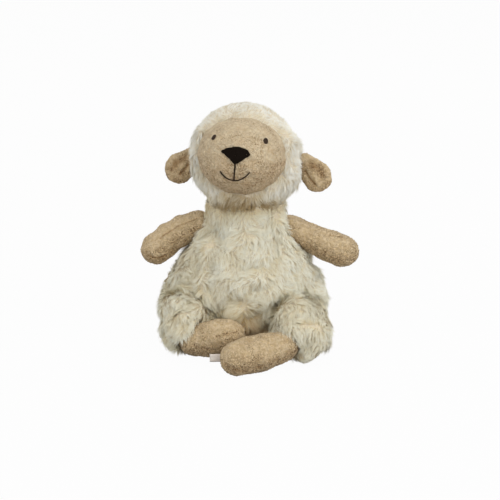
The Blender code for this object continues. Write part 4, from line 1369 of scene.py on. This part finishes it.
@dataclass
class Torso:
    """The body's skin and its long swirling pile."""

    hairs: int = 140000
    length: float = 0.0092
    seed: int = 81
    voxel: float = 0.0030
    inset: float = 0.0022
    swelling: float = 0.0015
    swells: tuple[Swell, ...] = (
        Swell((-0.066, 0.000, 0.072), 0.014, -0.0040), Swell((0.065, 0.000, 0.074), 0.013, -0.0042),
        Swell((-0.080, 0.000, 0.032), 0.015, 0.0066), Swell((0.000, -0.052, 0.022), 0.020, 0.0060),
    )
    collar_foot: float = 0.1110
    collar_side: float = 0.1295
    collar_front: float = 0.0050
    collar_radius: float = 0.0354
    collar_inside: float = 0.0349
    collar_lip: float = 0.0006
    collar_curve: float = 0.75
    ray_start: float = 0.2
    collar_steps: int = 72
    collar_shares: tuple[float, ...] = (0.0, 0.25, 0.5, 0.75, 0.95, 1.0)
    neck_voxel: float = 0.0020
    neck_gap: float = 0.046
    front_edge: float = 0.004
    front_split: float = 0.062
    back_split: float = 0.058

    def build(self) -> None:
        """Makes the body."""
        nodes = ("body_front_panel", "body_back_panel", "seat_base_panel", "body_stuffing", "seat_pellet_bag")
        skin = StuffedForm(
            "torso_skin", nodes, "torso", self.voxel, PILE_GROUND, self.inset, swelling=self.swelling,
            puffs=BODY_PUFFS, swells=self.swells, shape=self.raise_collar,
        ).build()
        self.pile(skin)
        StuffedForm("neck_wadding", ("neck_filling",), "neck", self.neck_voxel, WADDING, smoothing=4).build()

    def collar_top(self, places: Array) -> Array:
        """How high the neck seam runs over each place, a little higher in front."""
        front = np.clip(-places[:, 1] / self.collar_radius, 0.0, 1.0)
        return self.collar_side + self.collar_front * front

    def raise_collar(self, skin: Piece) -> None:
        """Adds the top edge of the body's cloth, which goes on from the shoulders up to the neck seam."""
        tree = BVHTree.FromObject(skin, bpy.context.evaluated_depsgraph_get())
        bm = bmesh.new()
        rings = []
        for step in range(self.collar_steps):
            angle = math.tau * step / self.collar_steps
            out = Vector((math.cos(angle), math.sin(angle), 0.0))
            foot = tree.ray_cast(out * self.ray_start + Vector((0.0, 0.0, self.collar_foot)), -out)[0]
            reach = (foot * Vector((1.0, 1.0, 0.0))).length
            rise = float(self.collar_top(np.array([out * self.collar_radius]))[0]) - self.collar_foot
            ring = []
            for share in self.collar_shares:
                lip = self.collar_lip if share == 1.0 else 0.0
                radius = reach + (self.collar_radius - reach) * share**self.collar_curve - lip
                ring.append(out * radius + Vector((0.0, 0.0, self.collar_foot + rise * share)))
            ring += [out * self.collar_inside + Vector((0.0, 0.0, place.z)) for place in ring[-2::-1]]
            rings.append([bm.verts.new(place) for place in ring])
        for ring, following in zip(rings, rings[1:] + rings[:1]):
            for index in range(len(ring)):
                after = (index + 1) % len(ring)
                bm.faces.new((ring[index], following[index], following[after], ring[after]))
        bmesh.ops.recalc_face_normals(bm, faces=bm.faces)
        bm.from_mesh(skin.data)
        bm.to_mesh(skin.data)
        bm.free()
        skin.data.shade_smooth()

    def pile(self, skin: Piece) -> None:
        """The body's long pile."""
        covers = ("leg_left_cover", "leg_right_cover")
        sleeves = (f"arm_{side.value}_{part}_piece" for part in ("front", "back") for side in Side)
        limbs, legs = inside_test(*covers, *sleeves), inside_test(*covers)
        neck = np.array(Vector(next(row["pos_m"] for row in frame["joints"] if row["name"] == "head_turn")))

        def over_legs(root: Array) -> Array:
            """How close each root is to a leg's top, from 0 to 1."""
            return eased(legs(root), -0.012, -0.003) * eased(root[:, 2], 0.036, 0.046)

        def edge(root: Array) -> Array:
            """How close each root is to the neck's crease, from 0 to 1."""
            return eased(root[:, 2] - self.collar_top(root), -0.011, -0.001)

        def behind(root: Array) -> Array:
            """How far back each root is, from 0 to 1."""
            return eased(root[:, 1], 0.000, 0.020)

        def lap(root: Array) -> Array:
            """How close each root is to the middle of the lap, from 0 to 1."""
            spread = (root[:, 0] / 0.026) ** 2 + ((root[:, 2] - 0.018) / 0.022) ** 2
            return np.exp(-spread) * (root[:, 1] < 0)

        def comb(root: Array, normal: Array) -> Array:
            """Down, and outward at the sides."""
            return DOWN + root * (8.0, 0.0, 0.0)

        def reach(root: Array, normal: Array) -> Array:
            """None under the limbs and in the neck, and short on the floor and at the collar's top."""
            share = 1 - eased(limbs(root + normal * 0.002), 0.003, 0.008)
            away = neck - root
            gap = np.linalg.norm(away, axis=1)
            facing = (away * normal).sum(1) / gap
            share *= 1 - eased(facing, -0.25, 0.15) * (gap < self.neck_gap)
            share *= 1 - (0.60 - 0.35 * behind(root)) * edge(root)
            share *= 1 + 0.6 * over_legs(root)
            return share * (0.3 + 0.7 * eased(root[:, 2], 0.004, 0.014)) * (1 + 0.7 * lap(root))

        def shade(root: Array) -> Array:
            """Painted shade, brown in the lap, low in the middle and at the front of the neck's crease, and
            painted light, lighter toward +X where the key light falls and darker toward -X.
            """
            # Painted shade in the lap, low in the middle and at the neck's crease; painted light on the key
            # light's side.
            middle = np.exp(-((root[:, 0] / 0.045) ** 2)) * (root[:, 1] < 0)
            low = (0.08 + 0.24 * middle) * (1 - eased(root[:, 2], 0.015, 0.070))
            front = eased(-root[:, 1], 0.000, 0.024)
            side = 0.12 * np.clip(root[:, 0] / 0.06, -1.0, 1.0)
            return 0.14 + side - 0.80 * lap(root) - 0.50 * edge(root) * front - low

        def stand(root: Array) -> Array:
            """A little more upright at the neck, in the lap and round the limbs."""
            return (0.30 + 0.40 * behind(root)) * edge(root) + 0.4 * lap(root) + 0.1 * over_legs(root)

        PileCoat(
            "torso_pile", skin, "torso", BODY_PILE, self.hairs, self.length, self.seed, comb, reach, shade,
            stand, BODY_PUFFS,
            {
                "front_low": lambda root: (root[:, 1] < self.front_edge) & (root[:, 2] < self.front_split),
                "front_high": lambda root: root[:, 1] < self.front_edge,
                "back_low": lambda root: root[:, 2] < self.back_split,
                "back_high": everywhere,
            },
        ).grow()


@dataclass
class CareLabel:
    """The small blank ribbon between the feet, folded double."""

    width: float = 0.0100
    drop: float = 0.0070
    thickness: float = 0.0003
    fold: float = 0.0006
    wave: float = 0.0005
    offset: tuple[float, float, float] = (0.0015, 0.0, -0.0005)

    def build(self) -> None:
        """Makes the label where its node is."""
        low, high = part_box("care_label")
        middle = (low + high) / 2 + Vector(self.offset)
        bm = bmesh.new()
        bmesh.ops.create_grid(bm, x_segments=8, y_segments=14, size=0.5)
        for vert in bm.verts:
            across, along = vert.co.x, vert.co.y * 2
            apart = self.fold * math.copysign(min(1.0, abs(along) * 3), along)
            down = self.drop * (1 - abs(along)) - self.drop / 2
            bow = self.wave * math.sin(across * 5)
            vert.co = middle + Vector((across * self.width, apart + bow, -down))
        bmesh.ops.recalc_face_normals(bm, faces=bm.faces)
        made = piece_of("label", bm)
        made.modifiers.new("wall", "SOLIDIFY").thickness = self.thickness
        settle(made)
        made.data.shade_smooth()
        RIBBON.put_on(made)
        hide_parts("care_label")
        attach(made, "leg_left")


@dataclass
class Studio:
    """A white floor and soft light from above."""

    floor_half: float = 4.0
    floor_grey: Colour = (0.50, 0.50, 0.50, 1.0)
    floor_glow: float = 0.97
    world_strength: float = 0.51
    aim: tuple[float, float, float] = (0.0, 0.0, 0.11)
    lamps: tuple[tuple[str, tuple[float, float, float], float, float], ...] = (
        ("key_light", (1.00, -0.75, 0.80), 1.5, 12.3),
        ("fill_light", (-0.9, -0.9, 0.9), 1.3, 7.0),
        ("back_light", (0.3, 1.3, 1.0), 1.3, 4.0),
    )

    def build(self) -> None:
        """Makes the floor, the lights and the world."""
        bm = bmesh.new()
        bmesh.ops.create_grid(bm, x_segments=1, y_segments=1, size=self.floor_half)
        floor = piece_of("floor", bm)
        floor.data.materials.append(self.floor_material())
        for name, place, size, power in self.lamps:
            data = bpy.data.lights.new(name, "AREA")
            data.size, data.energy = size, power
            toward = (Vector(self.aim) - Vector(place)).to_track_quat("-Z", "Y").to_matrix().to_4x4()
            link(name, data).matrix_world = Matrix.Translation(place) @ toward
        self.world()
        bpy.context.scene.view_settings.view_transform = "Standard"

    def seen_white(self, tools: NodeTools) -> Socket:
        """One for rays that show the background, and zero for those that light."""
        path = tools.node("ShaderNodeLightPath").outputs
        total = path["Is Camera Ray"]
        for name in ("Is Glossy Ray", "Is Transmission Ray"):
            total = tools.math("ADD", total, path[name], use_clamp=True)
        return total

    def floor_material(self) -> bpy.types.Material:
        """White to the eye, with a soft shadow under the sheep."""
        material = bpy.data.materials.new("studio_floor")
        material.use_nodes = True
        tools, nodes = NodeTools(material.node_tree), material.node_tree.nodes
        plain = {"Base Color": self.floor_grey, "Roughness": 0.9, "Specular IOR Level": 0.1}
        shader = tools.feed(nodes["Principled BSDF"], plain).outputs["BSDF"]
        glow = tools.node("ShaderNodeEmission", {"Strength": 1.0}).outputs["Emission"]
        share = tools.math("MULTIPLY", self.seen_white(tools), self.floor_glow)
        mixed = tools.node("ShaderNodeMixShader", {"Fac": share, 1: shader, 2: glow})
        tools.feed(nodes["Material Output"], {"Surface": mixed.outputs["Shader"]})
        return material

    def world(self) -> None:
        """A white surround that lights less than it shows."""
        world = bpy.data.worlds.new("studio_world")
        bpy.context.scene.world = world
        world.use_nodes = True
        tools = NodeTools(world.node_tree)
        strength = {"Value": self.seen_white(tools), "To Min": self.world_strength, "To Max": 1.0}
        strength = tools.node("ShaderNodeMapRange", strength).outputs["Result"]
        tools.feed(world.node_tree.nodes["Background"], {"Color": WHITE, "Strength": strength})


def main() -> None:
    """Builds the sheep and its studio in order."""
    logging.basicConfig(level=logging.INFO, format="%(message)s")
    CAMERA.build()
    Studio().build()
    Torso().build()
    Legs().build()
    Arms().build()
    Head().build()
    CareLabel().build()
    LOG.info("The sheep is dressed")


if __name__ == "__main__":
    main()
